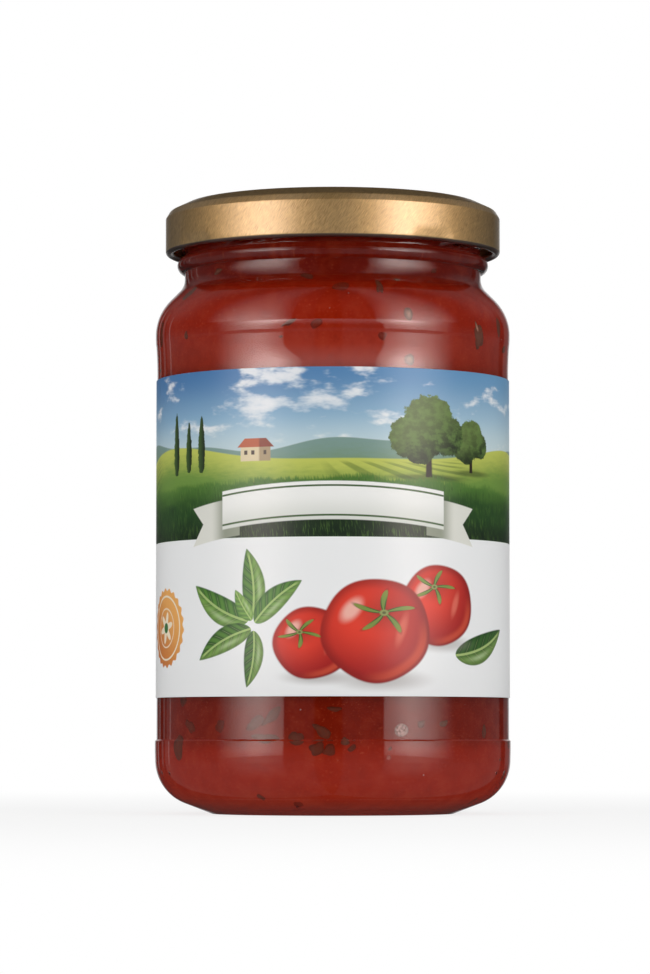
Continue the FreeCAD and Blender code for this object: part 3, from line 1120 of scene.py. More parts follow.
@dataclass(frozen=True)
class ScatterRule:
    """Small pieces spread over the sauce's skin by a geometry tree."""

    title: str = "scatter"
    spacing: float = 3.0
    density: float = 12000.0
    shortest: float = 0.5
    longest: float = 2.4
    slimmest: float = 0.35
    roundest: float = 0.8
    torn: float = 0.5
    thickness: float = 0.08
    skew: float = 2.0
    behind: float = -14.0
    raggedness: float = 1100.0
    seed: int = 5

    def inputs(self) -> dict[str, Union[float, int]]:
        """Gives the tree's inputs by name, with lengths in metres."""
        lengths = ("spacing", "shortest", "longest", "torn", "thickness")
        plain = ("density", "slimmest", "roundest", "seed")
        given = {name.title(): getattr(self, name) * MM for name in lengths}
        return given | {name.title(): getattr(self, name) for name in plain}

    def unit_shape(self, board: NodeBoard) -> bpy.types.NodeSocket:
        """Makes the flat disc that each piece starts from."""
        disc = board.flow("GeometryNodeMeshCircle", {"Vertices": 9, "Radius": 0.5}, fill_type="TRIANGLE_FAN")
        return board.flow("GeometryNodeSubdivideMesh", {0: disc, "Level": 1})

    def tree(self, form: JarForm, material: bpy.types.Material) -> bpy.types.NodeTree:
        """Builds the geometry tree.

        Args:
            form: The jar's sizes.
            material: What the pieces are made of.

        Returns:
            The tree, which ends in realized pieces with their material.
        """
        tree = bpy.data.node_groups.new(self.title, "GeometryNodeTree")
        tree.interface.new_socket("Geometry", in_out="INPUT", socket_type="NodeSocketGeometry")
        for name, value in self.inputs().items():
            kind = "NodeSocketInt" if isinstance(value, int) else "NodeSocketFloat"
            tree.interface.new_socket(name, in_out="INPUT", socket_type=kind)
        tree.interface.new_socket("Geometry", in_out="OUTPUT", socket_type="NodeSocketGeometry")
        board = NodeBoard(tree)
        given = {out.name: out for out in board.node("NodeGroupInput").outputs}
        skin = given["Geometry"]

        _, depth, rise = board.split(board.flow("GeometryNodeInputPosition"))
        height = rise / MM
        below = (height < form.label_bottom + 0.5) * (height > form.floor_edge + 0.6)
        above = (height > form.label_top - 0.5) * (height < form.bead_bottom + 1.0)
        bare = (below + above) * (depth > self.behind * MM) > 0.5
        where = {"Mesh": skin, "Selection": bare, "Seed": given["Seed"]}
        where |= {"Distance Min": given["Spacing"], "Density Max": given["Density"]}
        spread = board.node("GeometryNodeDistributePointsOnFaces", where, distribute_method="POISSON")
        chance, slim, spin, tint = (self._chance(board, given["Seed"], number) for number in (1, 2, 3, 4))
        shortest, longest = Signal(board, given["Shortest"]), Signal(board, given["Longest"])
        slimmest, roundest = Signal(board, given["Slimmest"]), Signal(board, given["Roundest"])
        length = shortest + (longest - shortest) * chance**self.skew
        width = length * (slimmest + (roundest - slimmest) * slim)
        piece = {"Instance": self.unit_shape(board), "Scale": board.join(length, width, length)}
        piece |= {"Points": spread.outputs["Points"], "Rotation": spread.outputs["Rotation"]}
        placed = board.flow("GeometryNodeInstanceOnPoints", piece)
        turn = board.join(0.0, 0.0, spin * (2.0 * math.pi))
        turned = board.flow("GeometryNodeRotateInstances", {0: placed, "Rotation": turn})
        mark = {"Geometry": turned, "Name": "tint", "Value": tint}
        marked = board.flow("GeometryNodeStoreNamedAttribute", mark, data_type="FLOAT", domain="INSTANCE")
        loose = board.flow("GeometryNodeRealizeInstances", {0: marked})
        whole = board.flow("GeometryNodeRealizeInstances", {0: self.shape_pieces(board, loose, skin, given)})
        dressed = board.flow("GeometryNodeSetMaterial", {"Geometry": whole, "Material": material})
        board.node("NodeGroupOutput", {0: dressed})
        return tree

    @staticmethod
    def _chance(board: NodeBoard, seed: bpy.types.NodeSocket, number: int) -> Signal:
        """Adds a random number from 0 to 1 for each piece.

        Args:
            board: The tree's board.
            seed: The tree's seed.
            number: Which of the tree's random numbers this is.

        Returns:
            The number.
        """
        mixed = Signal(board, seed) + 17 * number
        made = board.node("FunctionNodeRandomValue", {"Seed": mixed}, data_type="FLOAT")
        return Signal(board, next(out for out in made.outputs if out.enabled))

    def shape_pieces(
        self,
        board: NodeBoard,
        loose: bpy.types.NodeSocket,
        skin: bpy.types.NodeSocket,
        given: dict[str, bpy.types.NodeSocket],
    ) -> bpy.types.NodeSocket:
        """Tears the discs' edges, lays them on the skin and gives them their thickness.

        Args:
            board: The tree's board.
            loose: The flat discs.
            skin: The sauce's skin.
            given: The tree's inputs.

        Returns:
            The closed pieces.
        """
        here = board.flow("GeometryNodeInputPosition")
        rough = board.node("ShaderNodeTexNoise", {"Vector": here, "Scale": self.raggedness, "Detail": 2.0})
        shift = {0: rough.outputs["Color"], 1: (0.5, 0.5, 0.5)}
        centred = board.flow("ShaderNodeVectorMath", shift, operation="SUBTRACT")
        offset = board.flow("ShaderNodeVectorMath", {0: centred, "Scale": given["Torn"]}, operation="SCALE")
        torn = board.flow("GeometryNodeSetPosition", {"Geometry": loose, "Offset": offset})
        nearest = board.flow("GeometryNodeProximity", {0: skin}, target_element="FACES")
        laid = board.flow("GeometryNodeSetPosition", {"Geometry": torn, "Position": nearest})
        lift = {"Mesh": laid, "Offset Scale": given["Thickness"], "Individual": False}
        thick = board.flow("GeometryNodeExtrudeMesh", lift, mode="FACES")
        both = board.node("GeometryNodeJoinGeometry", {0: thick})
        board.tree.links.new(board.flow("GeometryNodeFlipFaces", {"Mesh": laid}), both.inputs[0])
        return board.flow("GeometryNodeMergeByDistance", {"Geometry": both.outputs[0], "Distance": 1e-7})


@dataclass(frozen=True)
class FlakeScatter(ScatterRule):
    """Torn scraps of basil."""

    title: str = "basil scatter"
    spacing: float = 4.5
    shortest: float = 0.8
    longest: float = 5.0
    slimmest: float = 0.4
    torn: float = 0.9


@dataclass(frozen=True)
class BubbleScatter(ScatterRule):
    """Tiny round bubbles."""

    title: str = "bubble scatter"
    spacing: float = 3.6
    density: float = 9000.0
    shortest: float = 0.1
    longest: float = 0.32
    slimmest: float = 0.9
    roundest: float = 1.0
    torn: float = 0.02
    thickness: float = 0.06
    skew: float = 3.0
    behind: float = -40.0
    seed: int = 23


# ---------------------------------------------------------------- lid


@dataclass(frozen=True)
class GoldTinplate:
    """Gold lacquer over tinplate with a fine slanting grain, and painted shade on the rolled lower edge."""

    gold: Colour = (0.68, 0.455, 0.195, 1.0)
    deep: Colour = (0.53, 0.35, 0.145, 1.0)
    bright: Colour = (0.88, 0.6, 0.27, 1.0)
    dull: Colour = (0.34, 0.19, 0.06, 1.0)
    # painted shade: the dark colour of the rolled lower edge, where the curl's underside is in shade
    bare: Colour = (0.14, 0.09, 0.07, 1.0)
    skirt_radius: float = 33.5
    edge: float = 112.25
    top_edge: float = 120.0

    def build(self) -> bpy.types.Material:
        """Makes the material and returns it."""
        board = SurfaceBoard("gold_tinplate")
        place = board.place()
        x, y, z = board.split(place)
        azimuth = board.math("ARCTAN2", x, -y)
        top = board.ramp(z, (self.top_edge - SHY) * MM, self.top_edge * MM)
        across = azimuth * (self.skirt_radius * MM) * (1.0 - top) + x * top
        skirt = board.join(across, z * (1.0 - top) + y * top, 0.0)
        steep, flat, scratch = (
            board.noise(skirt, grain * MM, 1.0, 0.5, (1.0, length, 1.0), turn)
            for grain, length, turn in ((0.12, 9.0, -34.0), (0.12, 12.0, -52.0), (0.17, 11.0, -30.0))
        )
        right = board.ramp(azimuth, 0.08, 0.4) * (1.0 - top)
        grain = steep * (1.0 - right) + flat * right
        cloud = board.noise(place, 14.0 * MM, 2.0)
        colour = board.washes(
            self.deep,
            (grain, 0.35, 0.65, self.gold),
            (scratch, 0.56, 0.72, self.bright, 0.5),
            (scratch, 0.44, 0.28, self.dull, 0.5),
            # painted shade on the rolled edge below this height
            (z, (self.edge + 0.12) * MM, (self.edge - 0.12) * MM, self.bare),
        )
        rough = 0.45 + grain * 0.1 + (cloud - 0.5) * 0.04
        shader = board.surface(
            {
                "Base Color": colour,
                "Metallic": 1.0,
                "Roughness": rough,
                "Coat Weight": 1.0,
                "Coat Roughness": 0.22,
                "Coat IOR": 1.6,
                "Normal": board.bump(grain * 0.6 + scratch * 0.4, 0.02 * MM, 0.8),
            }
        )
        return board.finish(shader)


@dataclass
class TwistLid:
    """The lid: recessed centre, flat ring, slope, skirt, rolled lower edge and lugs."""

    radius: float = 33.55
    sheet: float = 0.3
    top: float = 121.877
    ring_radius: float = 29.3
    slope_radius: float = 32.75
    slope_drop: float = 1.62
    skirt_drop: float = 2.95
    recess_radius: float = 26.75
    recess: float = 1.2
    curl_radius: float = 0.8
    bottom: float = 111.65
    lug_count: int = 4
    lug_azimuth: float = 35.8
    lug_turn: float = 14.0
    lug_share: float = 0.62
    lug_reach: float = 0.85
    lug_dent: float = 0.3
    lug_top: float = 2.6
    lug_fade: float = 1.8
    lug_lift: float = 0.16
    recess_lean: float = 0.25
    floor_round: float = 0.5
    lip_round: float = 0.55
    ring_round: float = 1.6
    slope_round: float = 1.0
    skirt_round: float = 0.5
    flat_step: float = 3.0

    def outline(self) -> Outline:
        """Draws the lid's section, out over its top, round the curl and back below."""
        floor = self.top - self.recess
        inner = self.radius - self.sheet
        under = self.top - self.sheet
        curl_r = self.radius - self.curl_radius
        curl_z = self.bottom + self.curl_radius
        slope = self.top - self.slope_drop
        skirt = self.top - self.skirt_drop
        recess, lip = self.recess_radius, self.recess_radius + self.recess_lean
        line = Outline(0.0, floor)
        line.to(recess - 3.0, floor, self.flat_step)
        line.corner((recess, floor), (lip, self.top), self.floor_round)
        line.corner((lip, self.top), (self.radius, self.top), self.lip_round)
        line.corner((self.ring_radius, self.top), (self.slope_radius, slope), self.ring_round, steps=5)
        line.corner((self.slope_radius, slope), (self.radius, skirt), self.slope_round)
        line.corner((self.radius, skirt), (self.radius, curl_z), self.skirt_round, steps=5)
        line.to(self.radius, curl_z, 0.6)
        line.about((curl_r, curl_z), -180.0, steps=16)
        line.about((curl_r, curl_z), -136.0, steps=12)
        line.to(inner, skirt - self.sheet, 0.8)
        line.to(self.slope_radius - 0.5 * self.sheet, slope - self.sheet)
        line.to(self.ring_radius - 0.5 * self.sheet, under)
        line.to(lip - self.sheet * 0.2, under)
        line.to(recess - self.sheet * 0.6, floor - self.sheet)
        return line.to(0.0, floor - self.sheet, self.flat_step)

    def lug_relief(self, azimuth: float, radius: float, height: float) -> Point:
        """Presses the rolled edge inwards at each lug.

        Args:
            azimuth: Degrees round the lid.
            radius: Radius before the relief.
            height: Height before the relief.

        Returns:
            How far the point moves out and up.
        """
        span = 360.0 / self.lug_count
        away = abs((azimuth - self.lug_azimuth + span / 2.0) % span - span / 2.0)
        pressed = max(0.0, 1.0 - (away / (self.lug_turn * self.lug_share)) ** 4) ** 1.5
        low = max(0.0, min(1.0, (self.bottom + self.lug_top - height) / self.lug_fade))
        inward = max(0.0, min(1.0, (self.radius - radius) / (2.0 * self.curl_radius)))
        reach = self.lug_dent + (self.lug_reach - self.lug_dent) * inward
        return (-pressed * low * reach, pressed * low * self.lug_lift)

    def build(self) -> bpy.types.Object:
        """Makes the lid and returns it."""
        lid = turn_outline("twist_lid", self.outline(), relief=self.lug_relief)
        dress(lid, GoldTinplate().build())
        settle(lid, "gold_tinplate", "lid")
        return lid


# ---------------------------------------------------------------- label


class Side(Enum):
    """Which side of a shape catches the light."""

    LEFT = -1.0
    RIGHT = 1.0


class PrintSheet(NodeBoard):
    """Part of the label's print, laid down ink by ink on what is printed so far.

    Places on it are in millimetres across, from the middle of the front, and up from the label's foot.
    """

    def __init__(self, motif: Motif) -> None:
        """Makes a group that prints one motif.

        Args:
            motif: What it prints.
        """
        super().__init__(bpy.data.node_groups.new(type(motif).__name__, "ShaderNodeTree"))
        faces = self.tree.interface
        faces.new_socket("Sheet", in_out="INPUT", socket_type="NodeSocketVector")
        faces.new_socket("Ink", in_out="INPUT", socket_type="NodeSocketColor")
        faces.new_socket("Ink", in_out="OUTPUT", socket_type="NodeSocketColor")
        entry = self.node("NodeGroupInput")
        self.sheet = entry.outputs["Sheet"]
        self.ink: Feed = entry.outputs["Ink"]
        self.across, self.up, _ = self.split(self.sheet)
        motif.lay(self)
        self.node("NodeGroupOutput", {"Ink": self.ink})

    def lay(self, mask: Value, colour: Feed) -> None:
        """Lays a colour over what is printed so far."""
        self.ink = self.mix(mask, self.ink, colour)

    def lays(self, *layers: tuple) -> None:
        """Lays washes of colour over what is printed so far."""
        self.ink = self.washes(self.ink, *layers)

    def local(self, centre: Point, size: Point, turn: float = 0.0) -> tuple[Signal, Signal]:
        """Gives coordinates about a centre.

        Args:
            centre: The centre on the sheet.
            size: What counts as 1 along each turned axis.
            turn: How the axes are turned, in degrees.

        Returns:
            The two coordinates.
        """
        cosine, sine = math.cos(math.radians(turn)), math.sin(math.radians(turn))
        return (
            self._along(centre, (cosine / size[0], sine / size[0])),
            self._along(centre, (-sine / size[1], cosine / size[1])),
        )

    def _along(self, centre: Point, axis: Point) -> Signal:
        """Measures along one axis from a centre.

        Args:
            centre: The centre on the sheet.
            axis: The axis, as its shares across and up.

        Returns:
            The coordinate.
        """
        along: Value = -(centre[0] * axis[0] + centre[1] * axis[1])
        for way, share in ((self.up, axis[1]), (self.across, axis[0])):
            if abs(share) >= ON_AXIS:
                along = self.math("MULTIPLY_ADD", way, share, along)
        return along

    def away(self, x: Signal, y: Signal) -> Signal:
        """Distance from the middle of two coordinates."""
        return self.math("MULTIPLY_ADD", x, x, y * y).root()

    def blot(self, centre: Point, size: Point, low: float, high: float, turn: float = 0.0) -> Signal:
        """Gives a soft ellipse, 0 at distance low and 1 at distance high."""
        return self.ramp(self.away(*self.local(centre, size, turn)), low, high)

    def mottle(self, grain: Point, detail: float = 3.0, rough: float = 0.55, turn: float = 0.0) -> Signal:
        """Gives a random pattern whose patches have a size across and up."""
        stretch = (1.0, grain[1] / grain[0], 1.0)
        return self.noise(self.sheet, grain[0], detail, rough, stretch, turn)


class Motif:
    """Something printed on the label."""

    def lay(self, sheet: PrintSheet) -> None:
        """Prints it.

        Args:
            sheet: The part of the print that takes it.
        """
        raise NotImplementedError


@dataclass(frozen=True)
class Tomato(Motif):
    """A ripe tomato with its green star."""

    centre: Point
    radius: float
    star: Point = (0.1, 0.42)
    turn: float = 20.0

    def lay(self, sheet: PrintSheet) -> None:
        """Prints it."""
        radius = self.radius
        edge = 0.25 / radius
        shadow = sheet.blot(self._spot(0.1, -0.86), (1.15 * radius, 0.26 * radius), 1.0, 0.2)
        sheet.lay(shadow * 0.5, paint(150, 140, 134))
        x, y = sheet.local(self.centre, (radius, radius * 0.91))
        angle = sheet.math("ARCTAN2", y, x)
        reach = sheet.away(x, y) * (1.0 + 0.016 * (angle * 5.0 + math.radians(self.turn)).sin())
        rim = (sheet.ramp(reach, 0.98, 0.9), sheet.ramp(x - y, 0.5, 1.2), 0.5)
        star_x, star_y = x - self.star[0], y - self.star[1]
        shine = sheet.away(*sheet.local(self._spot(-0.46, 0.36), (0.3 * radius, 0.17 * radius), 48.0))
        glint = sheet.away(*sheet.local(self._spot(0.45, 0.02), (0.1 * radius, 0.34 * radius), -18.0))
        skin = sheet.washes(
            paint(238, 62, 38),
            (sheet.away(x + 0.28, y - 0.3), 0.15, 1.3, paint(168, 16, 14)),
            (reach, 0.78, 1.02, paint(120, 10, 10), 0.55),
            (reach, 0.72, 0.86, paint(236, 96, 60), *rim),
            (sheet.away(star_x, star_y * 1.3), 0.62, 0.05, paint(140, 18, 12), 0.5),
            (shine, 1.15, 0.35, paint(255, 206, 190), 0.8),
            (glint, 1.2, 0.3, paint(255, 150, 124), 0.4),
        )
        sheet.lays((reach, 1.0 + edge, 1.0 - edge, skin))
        self._lay_star(sheet, star_x, star_y)

    def _spot(self, x: float, y: float) -> Point:
        """Turns a place in radii into a place on the sheet."""
        return (self.centre[0] + x * self.radius, self.centre[1] + y * self.radius)

    def _lay_star(self, sheet: PrintSheet, x: Signal, y: Signal) -> None:
        """Prints the green star and its stub.

        Args:
            sheet: The sheet.
            x: Radii across from the star's middle.
            y: Radii up from it.
        """
        angle = sheet.math("ARCTAN2", y * 1.35, x)
        reach = sheet.away(x, y * 1.35)
        arm = abs((angle * 2.5 + reach * 1.1 + math.radians(self.turn)).sin())
        limit = 0.07 + 0.52 * arm**7.0
        green = sheet.washes(
            paint(52, 82, 26),
            (arm, 0.9, 0.995, paint(124, 150, 66)),
            (reach, 0.3, 0.55, paint(150, 150, 70), 0.5),
        )
        sheet.lays(
            (reach - limit, 0.1, -0.02, paint(112, 12, 10), 0.45),
            (reach - limit, 0.02, -0.02, green),
            (reach, 0.1, 0.06, paint(150, 160, 92)),
            (reach, 0.05, 0.02, paint(86, 96, 44)),
        )


@dataclass(frozen=True)
class Leaf(Motif):
    """A basil leaf with its midrib and side veins."""

    foot: Point
    length: float
    width: float
    turn: float
    bend: float = 0.0
    light: Side = Side.LEFT
    dark: Colour = paint(30, 84, 26)
    pale: Colour = paint(112, 168, 62)

    def lay(self, sheet: PrintSheet) -> None:
        """Prints it."""
        raw, aside = sheet.local(self.foot, (self.length, self.width / 2.0), self.turn)
        along = raw.most(0.0).least(1.0)
        aside = aside - along * (1.0 - along) * (4.0 * self.bend)
        outline = (along**0.6) * ((1.0 - along) ** 0.9) * 1.78
        side = abs(aside)
        share = side / outline.most(0.02)
        edge = 0.3 / self.width
        inside = sheet.ramp(side - outline, edge, -edge) * sheet.ramp(abs(raw - 0.5), 0.505, 0.495)
        puff = abs((along * 6.5 - share * 1.05).fract() - 0.5) * 2.0
        lit = aside * self.light.value
        gloss = (sheet.ramp(abs(along - 0.4), 0.3, 0.0), sheet.ramp(lit, 0.0, 0.05), 0.4)
        green = sheet.washes(
            self.dark,
            (puff, 1.05, 0.1, self.pale, 0.55),
            (lit, -0.05, 0.3, paint(176, 210, 112), 0.35),
            (share, 0.6, 1.0, self.dark, 0.4),
            (puff, 0.86, 0.98, paint(180, 206, 124), sheet.ramp(share, 0.95, 0.6), 0.35),
            (side, 0.075, 0.035, paint(186, 210, 130), sheet.ramp(along, 1.0, 0.85), 0.8),
            (abs(share - 0.5), 0.28, 0.0, paint(214, 232, 190), *gloss),
        )
        sheet.lay(inside, green)


@dataclass(frozen=True)
class Tree(Motif):
    """A broad tree with a round crown made of a few clumps, each given by its place and its size."""

    foot: Point
    height: float
    spread: float
    clumps: tuple[Triple, ...] = (
        (0.0, 0.68, 0.36), (-0.27, 0.52, 0.25), (0.28, 0.55, 0.24), (-0.12, 0.4, 0.22), (0.14, 0.82, 0.2)
    )

    def lay(self, sheet: PrintSheet) -> None:
        """Prints its shadow, trunk and crown."""
        x, y = self.foot
        shadow = sheet.blot((x + 0.4, y - 0.2), (0.75 * self.spread, 0.9), 1.0, 0.3)
        sheet.lay(shadow * 0.6, paint(26, 52, 20))
        side, rise = sheet.local(self.foot, (self.spread, self.height))
        trunk = abs(side) - (0.045 - rise * 0.03)
        ends = (sheet.ramp(rise, -0.02, 0.0), sheet.ramp(rise, 0.6, 0.5))
        sheet.lays((trunk, 0.012, -0.012, paint(44, 34, 22), *ends))
        ragged = (sheet.mottle((1.3, 1.1), 4.0, 0.65) - 0.5) * 0.55
        crown: Value = 9.0
        for across, up, size in self.clumps:
            dx, dy = side - across, (rise - up) * (self.height / self.spread)
            crown = (sheet.away(dx, dy) / size).least(crown)
        clump = sheet.mottle((1.9, 1.5), 3.0, 0.6)
        green = sheet.washes(
            paint(24, 40, 16),
            (clump, 0.36, 0.66, paint(92, 122, 58)),
            (side * 0.6 - rise + clump * 0.5, 0.1, -0.6, paint(128, 152, 82), 0.45),
            (rise, 0.5, 0.22, paint(20, 34, 14), 0.6),
        )
        sheet.lays((crown + ragged, 1.04, 0.96, green))


@dataclass(frozen=True)
class Cypress(Motif):
    """A slim dark cypress."""

    foot: Point
    height: float
    spread: float

    def lay(self, sheet: PrintSheet) -> None:
        """Prints it."""
        side, rise = sheet.local(self.foot, (self.spread / 2.0, self.height))
        ragged = (sheet.mottle((0.5, 1.1), 3.0, 0.6) - 0.5) * 0.7
        along = rise.most(0.0).least(1.0)
        outline = (along**0.35) * ((1.0 - along) ** 0.7) * 1.35
        green = sheet.washes(paint(66, 94, 44), (side + ragged, -0.7, 0.8, paint(18, 34, 16)))
        sheet.lays((abs(side) + ragged - outline, 0.06, -0.06, green, sheet.ramp(abs(rise - 0.5), 0.5, 0.49)))


@dataclass(frozen=True)
class Farmhouse(Motif):
    """A small plain house with a tiled roof."""

    foot: Point
    width: float
    height: float

    def lay(self, sheet: PrintSheet) -> None:
        """Prints walls, roof and openings."""
        x, y = sheet.local(self.foot, (self.width, self.height))
        gable = sheet.ramp(x, 0.1, 0.16, False)
        wall = self._box(sheet, x, y, (0.0, 0.3), (0.5, 0.3))
        sheet.lay(wall, sheet.mix(gable, paint(232, 214, 176), paint(178, 156, 122)))
        slope = 0.62 - (y - 0.58) * 0.7
        roof = sheet.ramp(abs(x) - slope, 0.02, -0.02) * sheet.ramp(abs(y - 0.77), 0.2, 0.17)
        sheet.lay(roof, sheet.mix(gable, paint(190, 96, 60), paint(140, 62, 40)))
        for across, half in ((-0.32, 0.055), (-0.08, 0.055), (0.32, 0.045)):
            sheet.lay(self._box(sheet, x, y, (across, 0.36), (half, 0.09)), paint(74, 58, 48))

    @staticmethod
    def _box(sheet: PrintSheet, x: Signal, y: Signal, centre: Point, half: Point) -> Signal:
        """Gives a mask of a plain rectangle.

        Args:
            sheet: The sheet.
            x: Coordinate across.
            y: Coordinate up.
            centre: The rectangle's centre.
            half: Half its size each way.

        Returns:
            The mask.
        """
        aside = sheet.ramp(abs(x - centre[0]), half[0] + 0.015, half[0] - 0.015)
        return aside * sheet.ramp(abs(y - centre[1]), half[1] + 0.02, half[1] - 0.02)


@dataclass(frozen=True)
class Ribbon(Motif):
    """A blank ribbon with folded ends."""

    centre: Point
    half_length: float = 23.0
    half_width: float = 3.7
    tail: float = 8.0
    arch: float = 0.0032
    soft: float = 0.12

    def lay(self, sheet: PrintSheet) -> None:
        """Prints the tails first and then the face."""
        x, y = sheet.local(self.centre, (1.0, 1.0))
        y = y + x * x * self.arch
        reach, rise = abs(x), abs(y)
        soft, half, wide = self.soft, self.half_length, self.half_width
        edge = sheet.ramp(reach, half + 1.2, half - 0.6)
        sheet.lays((abs(y + 0.9), wide + 1.0, wide - 0.8, paint(12, 30, 12), edge, 0.45))
        tail_y = abs(y + 1.7)
        notch = half + self.tail - (wide - tail_y).most(0.0) * 0.8
        ends = (sheet.ramp(reach - notch, soft, -soft), sheet.ramp(reach, half - 4.2, half - 4.0))
        cream = sheet.washes(paint(232, 232, 222), (reach, half + 3.0, half - 1.0, paint(150, 156, 138)))
        sheet.lays((tail_y, wide + soft, wide - soft, cream, *ends))
        face = sheet.ramp(rise, wide + soft, wide - soft) * sheet.ramp(reach, half + soft, half - soft)
        sheet.lay(face, sheet.washes(paint(226, 228, 220), (y, -4.0, 2.0, paint(252, 252, 248))))
        sheet.lays((abs(rise - wide + 0.85), 0.26, 0.1, paint(64, 96, 48), face))


@dataclass(frozen=True)
class Medal(Motif):
    """A plain toothed disc with rings and a small leaf-green band, with nothing written on it."""

    centre: Point
    radius: float
    teeth: int = 22
    line: Colour = paint(252, 236, 208)

    def lay(self, sheet: PrintSheet) -> None:
        """Prints it."""
        x, y = sheet.local(self.centre, (self.radius, self.radius))
        angle = sheet.math("ARCTAN2", y, x)
        reach = sheet.away(x, y) * (1.0 + 0.035 * (angle * float(self.teeth)).sin())
        orange = sheet.washes(paint(214, 126, 52), (x + y, -1.2, 1.2, paint(244, 176, 92)))
        ring = sheet.away(x, y)
        petals = 0.3 + 0.12 * (angle * 6.0).sin()
        sheet.lays(
            (reach, 1.02, 0.98, orange),
            (abs(ring - 0.82), 0.035, 0.015, self.line),
            (abs(ring - 0.5), 0.03, 0.01, self.line, 0.8),
            (ring - petals, 0.03, -0.03, self.line),
            (ring, 0.15, 0.12, paint(60, 120, 62)),
        )


@dataclass(frozen=True)
class Landscape(Motif):
    """The upper half of the print: sky, clouds, far hills, a bright field and dark grass."""

    floor: float
    top: float
    wrap: float

    def _wave(self, sheet: PrintSheet, turns: int, shift: float, height: float) -> Signal:
        """Gives a gentle wave that closes round the jar after so many turns."""
        return (sheet.across * (2.0 * math.pi * turns / self.wrap) + shift).sin() * height

    def lay(self, sheet: PrintSheet) -> None:
        """Prints it from the sky down."""
        inside = sheet.ramp(sheet.up, self.floor - 0.06, self.floor + 0.06, False)
        fade = sheet.ramp(sheet.up, self.top, 50.0)
        left = sheet.mix(fade, paint(72, 124, 178), paint(150, 190, 216))
        right = sheet.mix(fade, paint(112, 164, 204), paint(186, 214, 226))
        sheet.lay(inside, sheet.mix(self._wave(sheet, 1, -0.5, 0.5) + 0.5, left, right))
        puffs = sheet.mottle((11.0, 4.6), 4.0, 0.55)
        band = self._wave(sheet, 3, 2.2, 0.06) - abs(sheet.up - 56.0) * 0.011
        cloud = sheet.ramp(puffs + band, 0.49, 0.62)
        white = sheet.washes(paint(214, 226, 236), (puffs, 0.5, 0.68, paint(255, 255, 255)))
        sheet.lay(inside * cloud * 0.85, white)
        sheet.lays((sheet.up, 55.0, 47.0, paint(222, 234, 230), inside, 0.6))
        far = 48.6 + self._wave(sheet, 4, 0.6, 1.1) + self._wave(sheet, 9, 2.0, 0.5)
        self._field(sheet, inside, far, paint(128, 158, 150), paint(120, 150, 112))
        hill = 46.6 + self._wave(sheet, 3, -1.9, 1.6) + self._wave(sheet, 5, 1.0, 0.7)
        self._field(sheet, inside, hill, paint(196, 204, 92), paint(112, 150, 62))
        self._lay_rows(sheet, inside, hill)

    def _field(self, sheet: PrintSheet, inside: Signal, ridge: Signal, crest: Colour, deep: Colour) -> None:
        """Prints one hill below its ridge.

        Args:
            sheet: The sheet.
            inside: Where the picture is.
            ridge: Height of its ridge.
            crest: Colour along the ridge.
            deep: Colour further down.
        """
        depth = ridge - sheet.up
        patch = (sheet.mottle((3.0, 0.7), 3.0, 0.6) - 0.5) * 3.0
        colour = sheet.washes(crest, (depth + patch, 0.0, 6.5, deep))
        sheet.lay(inside * sheet.ramp(depth, -0.08, 0.12, False), colour)

    def _lay_rows(self, sheet: PrintSheet, inside: Signal, hill: Signal) -> None:
        """Prints planted rows over part of the hill.

        Args:
            sheet: The sheet.
            inside: Where the picture is.
            hill: Height of the hill's ridge.
        """
        depth = hill - sheet.up
        rows = ((sheet.across - depth * 1.6) / (0.55 + depth * 0.16)).sin()
        where = sheet.ramp(self._wave(sheet, 3, 0.4, 1.0), 0.1, 0.6) * sheet.ramp(depth, 0.3, 1.2)
        sheet.lay(inside * where * sheet.ramp(rows, -0.1, 0.7) * 0.5, paint(70, 104, 40))


@dataclass(frozen=True)
class Grass(Motif):
    """The dark grass in front, over the feet of the trees."""

    floor: float
    wrap: float

    def lay(self, sheet: PrintSheet) -> None:
        """Prints it."""
        inside = sheet.ramp(sheet.up, self.floor - 0.06, self.floor + 0.06, False)
        blades = sheet.mottle((0.34, 2.6), 3.0, 0.65, 6.0)
        patch = sheet.mottle((9.0, 3.0), 2.0, 0.5)
        swell = (sheet.across * (4.0 * math.pi / self.wrap) + 1.4).sin() * 0.9
        line = 41.2 + swell + (blades - 0.5) * 3.2 + (patch - 0.5) * 3.0
        depth = line - sheet.up
        colour = sheet.washes(
            paint(78, 122, 44),
            (depth, 0.0, 4.5, paint(34, 74, 26)),
            (depth, 4.5, 10.5, paint(14, 40, 16)),
            (blades, 0.5, 0.72, paint(104, 146, 62), 0.5),
            (blades, 0.48, 0.3, paint(10, 28, 12), 0.45),
        )
        sheet.lay(inside * sheet.ramp(depth, -0.6, 0.6), colour)


@dataclass(frozen=True)
class BarePanel(Motif):
    """A bare panel with a thin border, where a real label has its small print."""

    centre: Point
    half: Point = (15.0, 10.5)

    def lay(self, sheet: PrintSheet) -> None:
        """Prints the border."""
        x, y = sheet.local(self.centre, self.half)
        outer = abs(x).most(abs(y))
        sheet.lays((outer, 1.005, 0.995, paint(84, 128, 66), sheet.ramp(outer, 0.965, 0.975)))


